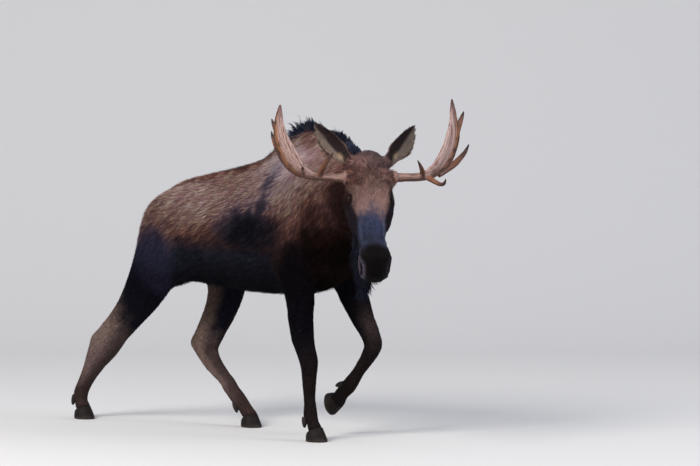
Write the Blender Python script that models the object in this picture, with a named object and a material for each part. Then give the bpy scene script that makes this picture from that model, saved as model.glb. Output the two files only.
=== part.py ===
"""A young bull moose in mid stride, as a still life-size model.

The animal walks along +X with its left side towards +Y. The body is shaped in a stride frame
whose X = 0 is under the planted right fore hoof, and moved at the end so that the origin is
the middle of the model's box on the floor. The flesh is one skin, fused from lofted forms and
rounded masses out to the tips of the coat, and parted with thin slits into head, neck, trunk,
tail, bell and legs. Antlers, ears, eyes and hooves are bodies of their own.
"""
import math

import bmesh
import bpy
import numpy as np
from mathutils import Matrix, Vector

for old in list(bpy.data.objects):
    bpy.data.objects.remove(old, do_unlink=True)

# ---- driving dimensions, in metres ------------------------------------------------------
WITHERS = 1.735          # floor to the top of the shoulder mane
CHEST_HALF = 0.285       # half the width of the rib cage, coat included
HEAD_LENGTH = 0.712      # crown to upper lip
HEAD_YAW = -41.0         # degrees: the head turns to the animal's right
HEAD_PITCH = 60.0        # degrees that the face points below the level
CROWN = Vector((0.431, -0.150, 1.581))
ANTLER_ROOT = 0.112      # midline to burr
BURR_SEAT_RADIUS = 0.046
EYE_RADIUS = 0.019
EAR_LENGTH = 0.25
SLIT = 0.0006            # width of the cuts that part the nodes
GAP = 0.0003             # clearance between bodies that meet face to face
BODY_VOXEL = 0.010
BROAD_STEPS = 40         # smoothing passes over the large muscles
DETAIL_COST = 0.0001     # how strongly the thinning spares the detailed regions
ANTLER_VOXEL = 0.0065
FLESH_TRIANGLES = 3400   # before the slits add their rims
ANTLER_TRIANGLES = 520
LEFT = 1
RIGHT = -1

COLOURS = {
    "coat": ((0.115, 0.068, 0.048), 0.80),
    "mane": ((0.045, 0.042, 0.050), 0.85),
    "face": ((0.095, 0.066, 0.052), 0.75),
    "leg": ((0.120, 0.098, 0.086), 0.80),
    "dark_leg": ((0.040, 0.036, 0.038), 0.80),
    "ear": ((0.110, 0.085, 0.070), 0.80),
    "antler": ((0.330, 0.200, 0.135), 0.55),
    "hoof": ((0.050, 0.043, 0.038), 0.45),
    "eye": ((0.018, 0.010, 0.007), 0.08),
}


# ---- small geometry helpers -------------------------------------------------------------
def head_axes():
    """Along the face, left, up from the brow, and the level heading of the turned, lowered head."""
    yaw = math.radians(HEAD_YAW)
    pitch = math.radians(HEAD_PITCH)
    level = Vector((math.cos(yaw), math.sin(yaw), 0.0))
    forward = level * math.cos(pitch) - Vector((0, 0, math.sin(pitch)))
    left = Vector((-math.sin(yaw), math.cos(yaw), 0.0))
    return forward, left, forward.cross(left), level


FACE, HEAD_LEFT, BROW, HEADING = head_axes()


def head_point(along, side, above):
    """Point of the head: along the face from the crown, to the animal's left, above the face line."""
    return CROWN + FACE * along + HEAD_LEFT * side + BROW * above


def antler_point(side, rise, ahead):
    """Point by an antler: from the middle between the burrs, sideways, up and along the heading."""
    middle = head_point(0.127, 0.0, -0.030)
    return middle + HEAD_LEFT * side + Vector((0, 0, rise)) + HEADING * ahead


def resample(rows, steps):
    """Catmull-Rom curve through the rows, with the same number of steps in each span."""
    rows = np.asarray(rows, dtype=float)
    ends = np.vstack([2 * rows[0] - rows[1], rows, 2 * rows[-1] - rows[-2]])
    t = np.linspace(0, 1, steps, endpoint=False)[:, None]
    spans = []
    for i in range(len(rows) - 1):
        a, b, c, d = ends[i:i + 4]
        spans.append(0.5 * (2 * b + (c - a) * t + (2 * a - 5 * b + 4 * c - d) * t ** 2
                            + (3 * b - a - 3 * c + d) * t ** 3))
    return np.vstack(spans + [rows[-1:]])


def closed_tube(rings):
    """Closed mesh over an array of rings (ring, point, xyz), with a pole at each end."""
    count, sides, _ = rings.shape
    verts = [tuple(p) for ring in rings for p in ring]
    faces = []
    for i in range(count - 1):
        for j in range(sides):
            k = (j + 1) % sides
            faces.append((i * sides + j, i * sides + k, (i + 1) * sides + k, (i + 1) * sides + j))
    for ring, turn in ((0, 1), (count - 1, -1)):
        pole = len(verts)
        verts.append(tuple(rings[ring].mean(axis=0)))
        for j in range(sides):
            pair = (ring * sides + (j + 1) % sides, ring * sides + j)
            faces.append(pair[::turn] + (pole,))
    return verts, faces


def section(sides, half, up, down, narrow_up=0.0, narrow_down=0.0, square=1.0):
    """Sideways and upward offsets of one section: an oval whose top and bottom may be narrowed."""
    turn = np.linspace(0, 2 * math.pi, sides, endpoint=False)
    s, c = np.sin(turn), np.cos(turn)
    across = half * np.sign(s) * np.abs(s) ** square
    across = across * (1 - narrow_up * np.maximum(c, 0) ** 1.5 - narrow_down * np.maximum(-c, 0) ** 1.5)
    height = np.where(c > 0, up, down) * np.sign(c) * np.abs(c) ** square
    return across, height


def barrel(rows, sides=28, steps=4):
    """Form along X from rows of x, top, bottom, half width, narrowing above and below."""
    rings = []
    for x, top, bottom, half, n_up, n_down in resample(rows, steps):
        middle = bottom + 0.46 * (top - bottom)
        across, height = section(sides, half, top - middle, middle - bottom, n_up, n_down)
        rings.append(np.stack([np.full(sides, x), across, middle + height], axis=1))
    return closed_tube(np.array(rings))


def limb(rows, sides=18, steps=4, lateral=(0, 1, 0), square=1.0):
    """Form along a path from rows of x, y, z, half size fore and aft, half size across."""
    rows = resample(rows, steps)
    points = rows[:, :3]
    tangents = np.gradient(points, axis=0)
    tangents /= np.linalg.norm(tangents, axis=1)[:, None]
    rings = []
    for point, tangent, half, thick in zip(points, tangents, rows[:, 3], rows[:, 4]):
        side = np.array(lateral) - tangent * np.dot(lateral, tangent)
        side /= np.linalg.norm(side)
        front = np.cross(side, tangent)
        across, ahead = section(sides, thick, half, half, square=square)
        rings.append(point + across[:, None] * side + ahead[:, None] * front)
    return closed_tube(np.array(rings))


def head_loft(rows, sides=28, steps=4):
    """Form along the face from rows of distance, top, bottom, half width, narrowings, squareness."""
    rings = []
    for along, top, bottom, half, n_up, n_down, square in resample(rows, steps):
        middle = bottom + 0.5 * (top - bottom)
        across, height = section(sides, half, top - middle, middle - bottom, n_up, n_down, square)
        centre = np.array(head_point(along, 0, middle))
        rings.append(centre + across[:, None] * np.array(HEAD_LEFT) + height[:, None] * np.array(BROW))
    return closed_tube(np.array(rings))


def mass(centre, radii, turn=(0, 0, 0), axes=None, rings=12, sides=18):
    """Rounded mass: an ellipsoid with three half sizes, turned by degrees about X, Y, then Z."""
    if axes is None:
        axes = Matrix.Identity(3)
        for angle, axis in zip(turn, "XYZ"):
            axes = Matrix.Rotation(math.radians(angle), 3, axis) @ axes
    rows = []
    for i in range(1, rings):
        tilt = math.pi * i / rings
        ring = []
        for j in range(sides):
            spin = 2 * math.pi * j / sides
            local = Vector((radii[0] * math.cos(tilt), radii[1] * math.sin(tilt) * math.cos(spin),
                            radii[2] * math.sin(tilt) * math.sin(spin)))
            ring.append(Vector(centre) + axes @ local)
        rows.append(ring)
    return closed_tube(np.array(rows, dtype=float))


def head_mass(along, side, above, radii):
    """Rounded mass in the head's own axes."""
    axes = Matrix((FACE, HEAD_LEFT, BROW)).transposed()
    return mass(head_point(along, side, above), radii, axes=axes)


def new_object(name, verts, faces):
    mesh = bpy.data.meshes.new(name)
    mesh.from_pydata([tuple(v) for v in verts], [], faces)
    work = bmesh.new()
    work.from_mesh(mesh)
    bmesh.ops.recalc_face_normals(work, faces=work.faces)
    work.to_mesh(mesh)
    work.free()
    obj = bpy.data.objects.new(name, mesh)
    bpy.context.scene.collection.objects.link(obj)
    return obj


def apply_modifiers(obj):
    """Replace the object's mesh by the evaluated one and clear its modifiers."""
    bpy.context.view_layer.update()
    evaluated = obj.evaluated_get(bpy.context.evaluated_depsgraph_get())
    mesh = bpy.data.meshes.new_from_object(evaluated)
    obj.modifiers.clear()
    obj.data = mesh


def fuse(name, forms, voxel, smooth_steps, broad=None):
    """Fuse overlapping closed forms into one skin and soften where they meet, most where broad is 1."""
    verts, faces = [], []
    for form_verts, form_faces in forms:
        start = len(verts)
        verts += form_verts
        faces += [tuple(start + i for i in face) for face in form_faces]
    obj = new_object(name, verts, faces)
    remesh = obj.modifiers.new("fuse", "REMESH")
    remesh.mode = "VOXEL"
    remesh.voxel_size = voxel
    apply_modifiers(obj)
    soften = obj.modifiers.new("soften", "SMOOTH")
    soften.factor = 0.5
    soften.iterations = smooth_steps
    if broad:
        group = obj.vertex_groups.new(name="broad")
        for vert in obj.data.vertices:
            group.add([vert.index], broad(vert.co), "REPLACE")
        blend = obj.modifiers.new("blend", "SMOOTH")
        blend.factor = 0.5
        blend.iterations = BROAD_STEPS
        blend.vertex_group = group.name
    apply_modifiers(obj)
    obj.vertex_groups.clear()
    return obj


def thin_out(obj, triangles, weight_of=None):
    """Reduce a skin to about so many triangles; weight_of keeps more of them where it is low."""
    reduce = obj.modifiers.new("reduce", "DECIMATE")
    have = sum(len(p.vertices) - 2 for p in obj.data.polygons)
    reduce.ratio = triangles / have
    if weight_of:
        group = obj.vertex_groups.new(name="reduce")
        for vert in obj.data.vertices:
            group.add([vert.index], weight_of(vert.co), "REPLACE")
        reduce.vertex_group = group.name
        reduce.vertex_group_factor = DETAIL_COST
    apply_modifiers(obj)
    obj.vertex_groups.clear()


def plate(centre, normal, along, half_length, half_width, sides=12):
    """Thin oval plate that a slit takes away: longest in the direction along."""
    normal = Vector(normal).normalized()
    length_way = (Vector(along) - normal * normal.dot(Vector(along))).normalized()
    width_way = normal.cross(length_way)
    verts = []
    for level in (-SLIT / 2, SLIT / 2):
        for j in range(sides):
            turn = 2 * math.pi * j / sides
            point = (Vector(centre) + length_way * (half_length * math.cos(turn))
                     + width_way * (half_width * math.sin(turn)) + normal * level)
            verts.append(tuple(point))
    faces = [tuple(range(sides)), tuple(range(sides, 2 * sides))]
    faces += [(j, (j + 1) % sides, sides + (j + 1) % sides, sides + j) for j in range(sides)]
    return verts, faces


def disc(centre, normal, radius):
    """Thin round plate that a slit takes away."""
    normal = Vector(normal)
    along = (1, 0, 0) if abs(normal.x) < 0.8 * normal.length else (0, 0, 1)
    return plate(centre, normal, along, radius, radius)


def cut_away(obj, cutters):
    """Take closed shapes away from an object with exact Booleans."""
    for verts, faces in cutters:
        tool = new_object("cutter", verts, faces)
        tool.hide_render = True
        tool.display_type = "WIRE"
        cut = obj.modifiers.new("cut", "BOOLEAN")
        cut.operation = "DIFFERENCE"
        cut.object = tool
        apply_modifiers(obj)
        bpy.data.objects.remove(tool, do_unlink=True)


def loose_parts(obj):
    """Split a mesh into its unconnected parts, as lists of points and triangles."""
    work = bmesh.new()
    work.from_mesh(obj.data)
    bmesh.ops.triangulate(work, faces=work.faces)
    work.faces.index_update()
    seen = set()
    parts = []
    for start in work.verts:
        if start in seen:
            continue
        group, stack = [], [start]
        seen.add(start)
        while stack:
            vert = stack.pop()
            group.append(vert)
            for edge in vert.link_edges:
                other = edge.other_vert(vert)
                if other not in seen:
                    seen.add(other)
                    stack.append(other)
        number = {vert: i for i, vert in enumerate(group)}
        faces = {face for vert in group for face in vert.link_faces}
        ordered = sorted(faces, key=lambda face: face.index)
        parts.append(([tuple(v.co) for v in group], [tuple(number[v] for v in f.verts) for f in ordered]))
    work.free()
    return parts


def name_parts(obj, labels):
    """Give each loose part the name whose mark lies nearest its middle, and drop the offcuts."""
    pieces = {}
    parts = sorted(loose_parts(obj), key=lambda part: -len(part[0]))
    free = dict(labels)
    for verts, faces in parts:
        middle = sum((Vector(v) for v in verts), Vector()) / len(verts)
        if not free:
            break
        name = min(free, key=lambda key: (Vector(free[key]) - middle).length)
        del free[name]
        if not name.startswith("offcut"):
            pieces[name] = new_object(name, verts, faces)
    bpy.data.objects.remove(obj, do_unlink=True)
    return pieces


# ---- trunk, neck and tail ---------------------------------------------------------------
def trunk_forms():
    """Barrel with the mane over the shoulders, and the muscles of shoulder, breast and haunch."""
    # x, top, bottom, half width, narrowing above, narrowing below
    rows = [
        (-1.350, 1.140, 0.990, 0.050, 0.2, 0.1),
        (-1.322, 1.215, 0.900, 0.110, 0.3, 0.1),
        (-1.240, 1.322, 0.830, 0.180, 0.4, 0.2),
        (-1.140, 1.393, 0.800, 0.225, 0.5, 0.3),
        (-0.960, 1.432, 0.800, 0.245, 0.5, 0.4),
        (-0.800, 1.462, 0.785, CHEST_HALF - 0.015, 0.5, 0.4),
        (-0.610, 1.500, 0.760, CHEST_HALF, 0.5, 0.4),
        (-0.470, 1.540, 0.755, CHEST_HALF, 0.6, 0.4),
        (-0.385, 1.602, 0.755, CHEST_HALF - 0.010, 0.7, 0.4),
        (-0.270, 1.684, 0.757, CHEST_HALF - 0.025, 0.8, 0.4),
        (-0.130, WITHERS, 0.765, CHEST_HALF - 0.050, 0.8, 0.4),
        (-0.020, WITHERS - 0.013, 0.778, CHEST_HALF - 0.070, 0.8, 0.3),
        (0.075, 1.688, 0.825, 0.190, 0.7, 0.3),
        (0.145, 1.622, 0.900, 0.160, 0.6, 0.2),
        (0.195, 1.490, 1.060, 0.100, 0.4, 0.1),
    ]
    forms = [barrel(rows)]
    for side in (LEFT, RIGHT):
        forms.append(mass((-0.120, side * 0.155, 1.220), (0.150, 0.088, 0.330), turn=(0, 14, 0)))
        forms.append(mass((-0.110, side * 0.163, 0.980), (0.165, 0.085, 0.165)))
        forms.append(mass((0.060, side * 0.110, 1.050), (0.115, 0.095, 0.170)))
        forms.append(mass((-1.100, side * 0.125, 1.080), (0.230, 0.118, 0.270), turn=(0, 10, 0)))
        forms.append(mass((-1.235, side * 0.118, 0.985), (0.115, 0.092, 0.190)))
        forms.append(mass((-0.960, side * 0.108, 1.305), (0.120, 0.060, 0.062)))
        forms.append(mass((-1.000, side * 0.145, 0.865), (0.160, 0.060, 0.080)))
    return forms


def neck_forms():
    """Deep neck that swings from the shoulders to the turned head, mane on top."""
    # x, y, top, bottom, half width, narrowing above, narrowing below, turn in degrees
    rows = [
        (-0.120, 0.000, 1.700, 1.000, 0.200, 0.75, 0.2, 0.0),
        (0.000, -0.002, 1.710, 0.985, 0.200, 0.75, 0.2, -6.0),
        (0.090, -0.010, 1.690, 1.000, 0.185, 0.72, 0.3, -12.0),
        (0.180, -0.036, 1.655, 1.050, 0.165, 0.65, 0.4, -21.0),
        (0.265, -0.070, 1.606, 1.110, 0.148, 0.66, 0.5, -30.0),
        (0.345, -0.112, 1.562, 1.175, 0.130, 0.66, 0.5, -37.0),
        (0.415, -0.158, 1.515, 1.280, 0.095, 0.60, 0.4, HEAD_YAW),
    ]
    sides = 26
    rings = []
    for x, y, top, bottom, half, n_up, n_down, turn in resample(rows, 4):
        middle = bottom + 0.5 * (top - bottom)
        across, height = section(sides, half, top - middle, middle - bottom, n_up, n_down)
        left = np.array((-math.sin(math.radians(turn)), math.cos(math.radians(turn)), 0.0))
        centre = np.array((x, y, middle))
        rings.append(centre + across[:, None] * left + height[:, None] * np.array((0, 0, 1.0)))
    return [closed_tube(np.array(rings))]


def tail_forms():
    """Short flat tail that hangs from the rump."""
    rows = [
        (-1.295, 0.0, 1.235, 0.030, 0.045),
        (-1.340, 0.0, 1.210, 0.032, 0.045),
        (-1.380, 0.0, 1.155, 0.030, 0.040),
        (-1.396, 0.0, 1.090, 0.024, 0.032),
        (-1.400, 0.0, 1.045, 0.010, 0.014),
    ]
    return [limb(rows, sides=14)]


# ---- head -------------------------------------------------------------------------------
def head_forms():
    """Long face with its overhanging muzzle, the brow, cheeks, jaw, and stubs for ears and antlers."""
    # along, top, bottom, half width, narrowing above, narrowing below, squareness
    rows = [
        (-0.046, -0.050, -0.170, 0.060, 0.1, 0.1, 1.0),
        (-0.024, -0.022, -0.215, 0.090, 0.1, 0.1, 1.0),
        (0.010, -0.012, -0.250, 0.108, 0.1, 0.2, 0.9),
        (0.070, -0.010, -0.280, 0.118, 0.1, 0.4, 0.8),
        (0.130, -0.008, -0.300, 0.120, 0.05, 0.5, 0.65),
        (0.200, -0.008, -0.300, 0.123, 0.05, 0.5, 0.62),
        (0.260, -0.014, -0.290, 0.120, 0.20, 0.5, 0.70),
        (0.330, -0.026, -0.265, 0.109, 0.36, 0.5, 0.85),
        (0.400, -0.036, -0.240, 0.090, 0.38, 0.4, 0.9),
        (0.455, -0.036, -0.222, 0.078, 0.28, 0.3, 0.85),
        (0.510, -0.026, -0.210, 0.082, 0.20, 0.2, 0.82),
        (0.565, -0.010, -0.204, 0.086, 0.15, 0.2, 0.8),
        (0.620, -0.006, -0.198, 0.089, 0.15, 0.2, 0.8),
        (0.660, -0.022, -0.182, 0.087, 0.15, 0.2, 0.8),
        (0.690, -0.048, -0.165, 0.078, 0.15, 0.2, 0.8),
        (HEAD_LENGTH, -0.085, -0.140, 0.045, 0.1, 0.1, 0.9),
    ]
    forms = [head_loft(rows)]
    forms.append(head_mass(0.046, 0.0, -0.040, (0.064, 0.086, 0.040)))
    forms.append(head_mass(0.615, 0.0, -0.166, (0.070, 0.062, 0.032)))
    for side in (LEFT, RIGHT):
        forms.append(head_mass(0.205, side * 0.076, -0.050, (0.085, 0.046, 0.042)))
        forms.append(head_mass(0.275, side * 0.070, -0.175, (0.130, 0.054, 0.095)))
        forms.append(head_mass(0.580, side * 0.056, -0.052, (0.056, 0.036, 0.042)))
        forms.append(head_mass(0.655, side * 0.055, -0.125, (0.045, 0.036, 0.032)))
        forms.append(ear_form(side, stub=True))
        forms.append(pedicle_form(side))
    return forms


def bell_forms():
    """Flap of skin and long hair that hangs from the throat."""
    rows = [
        (0.345, -0.115, 1.270, 0.055, 0.060),
        (0.345, -0.115, 1.170, 0.054, 0.060),
        (0.346, -0.114, 1.060, 0.050, 0.058),
        (0.348, -0.112, 0.960, 0.042, 0.050),
        (0.350, -0.110, 0.880, 0.030, 0.036),
        (0.352, -0.109, 0.825, 0.013, 0.015),
    ]
    return [limb(rows, sides=16, lateral=tuple(HEAD_LEFT))]


def ear_axes(side):
    """Root, direction of the tip and direction that the opening faces, for one ear."""
    root = head_point(0.038, side * 0.104, -0.052)
    tip = (HEAD_LEFT * (side * 0.60) + Vector((0, 0, 0.80)) - HEADING * 0.10).normalized()
    mouth = HEADING + HEAD_LEFT * (side * 0.45) - Vector((0, 0, 0.30))
    mouth = (mouth - tip * mouth.dot(tip)).normalized()
    return root, tip, mouth


EAR_CUT = 0.052          # distance from the ear's root to the plane where the head ends


def ear_form(side, stub=False):
    """Cupped leaf along the ear's axis; the stub is the part of its base that the head carries."""
    root, tip, mouth = ear_axes(side)
    across_dir = tip.cross(mouth)
    # fraction of the length, half width, wall thickness, depth of the cup
    rows = [
        (-0.10, 0.030, 0.060, 0.000),
        (0.00, 0.040, 0.062, 0.004),
        (EAR_CUT / EAR_LENGTH, 0.050, 0.050, 0.012),
        (0.33, 0.056, 0.036, 0.026),
        (0.50, 0.052, 0.026, 0.030),
        (0.68, 0.043, 0.020, 0.026),
        (0.84, 0.028, 0.015, 0.016),
        (0.95, 0.013, 0.010, 0.006),
        (1.00, 0.004, 0.006, 0.000),
    ]
    sides = 14
    rings = []
    for part, half, wall, cup in resample(rows, 1):
        if stub and part * EAR_LENGTH > EAR_CUT + 0.014:
            continue
        if not stub and part * EAR_LENGTH < EAR_CUT + 1e-6:
            continue
        rings.append(ear_ring(root, tip, mouth, across_dir, part, half, wall, cup, sides))
    if not stub:
        base = next(row for row in rows if abs(row[0] - EAR_CUT / EAR_LENGTH) < 1e-9)
        part = (EAR_CUT + SLIT / 2 + GAP) / EAR_LENGTH
        rings.insert(0, ear_ring(root, tip, mouth, across_dir, part, *base[1:], sides))
    return closed_tube(np.array(rings))


def ear_ring(root, tip, mouth, across_dir, part, half, wall, cup, sides):
    """One section of an ear: an oval bent backwards into a cup by the square of the width."""
    turn = np.linspace(0, 2 * math.pi, sides, endpoint=False)
    across = half * np.sin(turn)
    bend = cup * (2 * (across / half) ** 2 - 1)
    out = 0.5 * wall * np.cos(turn) + bend
    centre = np.array(root + tip * (part * EAR_LENGTH))
    return centre + across[:, None] * np.array(across_dir) + out[:, None] * np.array(mouth)


def pedicle_form(side):
    """Bony stub that carries an antler, out to the burr and a little past it."""
    rows = []
    for reach, half, thick in ((0.050, 0.045, 0.045), (0.085, 0.040, 0.040), (0.132, 0.034, 0.034)):
        point = antler_point(side * reach, 0.0, -0.004)
        rows.append((*point, half, thick))
    return limb(rows, sides=14, lateral=(0, 0, 1))


def burr_seat(side):
    """Round space that the head leaves for an antler, outwards from its burr."""
    rows = []
    for reach in (ANTLER_ROOT, 0.200):
        rows.append((*antler_point(side * reach, -0.010, 0), BURR_SEAT_RADIUS, BURR_SEAT_RADIUS))
    return limb(rows, sides=16, steps=1, lateral=(0, 0, 1))


def eye_centre(side):
    return head_point(0.243, side * 0.1065, -0.062)


# ---- legs -------------------------------------------------------------------------------
# Each leg is a path of x, y, z with half sizes fore and aft and across. The last row is the
# coronet, where the hooves begin; "knee" is the row of the carpus or hock.
LEGS = {
    "right_fore": {
        "side": RIGHT,
        "path": [
            (-0.090, -0.150, 1.120, 0.125, 0.075),
            (-0.055, -0.170, 0.960, 0.120, 0.080),
            (-0.048, -0.182, 0.840, 0.108, 0.074),
            (-0.047, -0.180, 0.730, 0.095, 0.068),
            (-0.044, -0.168, 0.600, 0.083, 0.062),
            (-0.024, -0.157, 0.500, 0.066, 0.054),
            (-0.004, -0.150, 0.426, 0.058, 0.053),
            (-0.007, -0.146, 0.355, 0.048, 0.045),
            (-0.010, -0.142, 0.250, 0.040, 0.037),
            (-0.006, -0.140, 0.180, 0.042, 0.037),
            (-0.006, -0.140, 0.140, 0.047, 0.042),
            (0.014, -0.140, 0.098, 0.039, 0.040),
            (0.034, -0.140, 0.060, 0.047, 0.047),
        ],
        "knee": 6,
        "hoof_pitch": 0.0,
    },
    "left_fore": {
        "side": LEFT,
        "path": [
            (-0.080, 0.150, 1.120, 0.125, 0.075),
            (-0.055, 0.170, 0.980, 0.120, 0.080),
            (-0.024, 0.184, 0.865, 0.106, 0.074),
            (0.030, 0.182, 0.765, 0.100, 0.070),
            (0.092, 0.174, 0.665, 0.084, 0.063),
            (0.156, 0.166, 0.580, 0.064, 0.055),
            (0.188, 0.160, 0.520, 0.057, 0.054),
            (0.158, 0.156, 0.455, 0.048, 0.046),
            (0.096, 0.148, 0.372, 0.039, 0.038),
            (0.054, 0.142, 0.315, 0.045, 0.041),
            (0.020, 0.140, 0.278, 0.049, 0.045),
            (-0.026, 0.138, 0.236, 0.043, 0.044),
            (-0.054, 0.137, 0.196, 0.049, 0.049),
        ],
        "knee": 6,
        "hoof_pitch": 78.0,
    },
    "right_hind": {
        "side": RIGHT,
        "path": [
            (-1.060, -0.120, 1.180, 0.150, 0.080),
            (-1.120, -0.155, 1.020, 0.175, 0.085),
            (-1.165, -0.180, 0.880, 0.172, 0.088),
            (-1.235, -0.188, 0.760, 0.148, 0.080),
            (-1.345, -0.184, 0.640, 0.112, 0.070),
            (-1.455, -0.176, 0.535, 0.092, 0.061),
            (-1.555, -0.170, 0.435, 0.092, 0.060),
            (-1.638, -0.168, 0.350, 0.076, 0.053),
            (-1.704, -0.168, 0.255, 0.057, 0.043),
            (-1.754, -0.168, 0.180, 0.050, 0.041),
            (-1.776, -0.168, 0.135, 0.052, 0.044),
            (-1.770, -0.168, 0.096, 0.043, 0.042),
            (-1.750, -0.168, 0.060, 0.049, 0.048),
        ],
        "knee": 6,
        "hoof_pitch": 0.0,
    },
    "left_hind": {
        "side": LEFT,
        "path": [
            (-1.040, 0.120, 1.180, 0.150, 0.080),
            (-1.000, 0.155, 1.020, 0.180, 0.085),
            (-0.950, 0.185, 0.890, 0.170, 0.088),
            (-0.945, 0.188, 0.780, 0.146, 0.080),
            (-0.982, 0.176, 0.650, 0.118, 0.070),
            (-1.026, 0.160, 0.550, 0.096, 0.061),
            (-1.070, 0.150, 0.452, 0.092, 0.060),
            (-1.040, 0.148, 0.370, 0.065, 0.050),
            (-0.956, 0.148, 0.285, 0.052, 0.042),
            (-0.880, 0.149, 0.208, 0.049, 0.041),
            (-0.816, 0.150, 0.148, 0.051, 0.044),
            (-0.764, 0.150, 0.098, 0.043, 0.042),
            (-0.730, 0.150, 0.060, 0.049, 0.048),
        ],
        "knee": 6,
        "hoof_pitch": 0.0,
    },
}
CORONET_SLOPE = 0.42     # rise of the coronet towards the toe
CORONET_HEIGHT = 0.060   # above the sole, under the middle of the pastern
CLAW_GAP = 0.006         # between the two claws of a hoof
HOOF_HALF_WIDTH = 0.054
TOE_AHEAD = 0.074        # from under the coronet's middle to the toe


def hoof_frame(leg):
    """Origin on the sole under the coronet, with forward, left and up directions of the foot."""
    coronet = Vector(leg["path"][-1][:3])
    turn = Matrix.Rotation(math.radians(leg["hoof_pitch"]), 3, "Y")
    ahead, left, up = (turn @ Vector(v) for v in ((1, 0, 0), (0, 1, 0), (0, 0, 1)))
    return coronet - up * CORONET_HEIGHT, ahead, left, up


def coronet_plane(leg):
    """Middle and normal of the slanting plane where the hooves begin."""
    _, ahead, _, up = hoof_frame(leg)
    return Vector(leg["path"][-1][:3]), (up - ahead * CORONET_SLOPE).normalized()


def leg_forms(leg):
    """Skin of one leg down past the coronet, with the hock's point and tendon on a hind leg."""
    path = [list(row) for row in leg["path"]]
    last, before = np.array(path[-1]), np.array(path[-2])
    beyond = last + (last - before) * 0.5
    beyond[3:] = last[3:]
    path.append(list(beyond))
    forms = [limb(path)]
    if path[0][0] < -0.5:
        knee = Vector(path[leg["knee"]][:3])
        above = Vector(path[leg["knee"] - 3][:3])
        shin = (above - knee).normalized()
        back = Vector((shin.z, 0, -shin.x)) * -1
        cannon = (Vector(path[leg["knee"] + 2][:3]) - knee).normalized()
        heel = knee + back * 0.098 - shin * 0.036
        tendon = [
            (*(above + back * 0.050 + shin * 0.020), 0.034, 0.030),
            (*(above * 0.5 + knee * 0.5 + back * 0.086), 0.024, 0.021),
            (*(heel + shin * 0.045), 0.022, 0.021),
            (*heel, 0.028, 0.026),
            (*(heel + cannon * 0.055 - back * 0.014), 0.028, 0.024),
            (*(heel + cannon * 0.150 - back * 0.048), 0.026, 0.022),
        ]
        forms.append(limb(tendon, sides=12))
    return forms


def claw(leg, inner_side):
    """One claw of a hoof: D-shaped sections from the flat sole up to the slanting coronet."""
    origin, ahead, left, up = hoof_frame(leg)
    curve = np.linspace(-math.pi / 2, math.pi / 2, 9)
    rings = []
    # share of the height, toe, heel, half width; the sole's rim is rounded by a small inset
    levels = [
        (0.00, TOE_AHEAD - 0.004, -0.046, HOOF_HALF_WIDTH - 0.004),
        (0.07, TOE_AHEAD, -0.050, HOOF_HALF_WIDTH),
        (0.40, TOE_AHEAD - 0.014, -0.050, HOOF_HALF_WIDTH - 0.001),
        (0.75, TOE_AHEAD - 0.028, -0.049, HOOF_HALF_WIDTH - 0.004),
        (1.00, TOE_AHEAD - 0.036, -0.047, HOOF_HALF_WIDTH - 0.008),
    ]
    for share, toe, heel, half in levels:
        middle, reach = (toe + heel) / 2, (toe - heel) / 2
        along = middle + reach * np.sin(curve)
        taper = 1 - 0.30 * np.maximum(np.sin(curve), 0) ** 2
        out = CLAW_GAP / 2 + (half - CLAW_GAP / 2) * np.cos(curve) ** 0.75 * taper
        inner = np.linspace(toe, heel, 4)[1:-1]
        along = np.concatenate([along, inner])
        out = np.concatenate([out, np.full(len(inner), CLAW_GAP / 2)])
        top = CORONET_HEIGHT + CORONET_SLOPE * along - (SLIT / 2 + GAP) * 1.2
        height = share * top
        points = (np.array(origin) + along[:, None] * np.array(ahead)
                  + (inner_side * out)[:, None] * np.array(left) + height[:, None] * np.array(up))
        rings.append(points)
    return closed_tube(np.array(rings))


def dewclaw(leg, side, grow=0.0):
    """Small horny cone behind the fetlock; grow widens it into the socket that it stands in."""
    fetlock = Vector(leg["path"][-3][:3])
    pastern = (Vector(leg["path"][-2][:3]) - fetlock).normalized()
    back = pastern.cross(Vector((0, 1, 0)))
    if back.dot(hoof_frame(leg)[1]) > 0:
        back.negate()
    root = fetlock + back * 0.028 + Vector((0, side * 0.022, 0)) + pastern * 0.010
    way = (back * 0.45 + pastern * 0.89).normalized()
    rows = []
    for reach, half, thick in ((-0.004 - grow, 0.015, 0.013), (0.016, 0.0165, 0.014),
                               (0.034, 0.013, 0.011), (0.047 + grow, 0.006, 0.006)):
        rows.append((*(root + way * reach), half + grow, thick + grow))
    return limb(rows, sides=7, steps=1)


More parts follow.
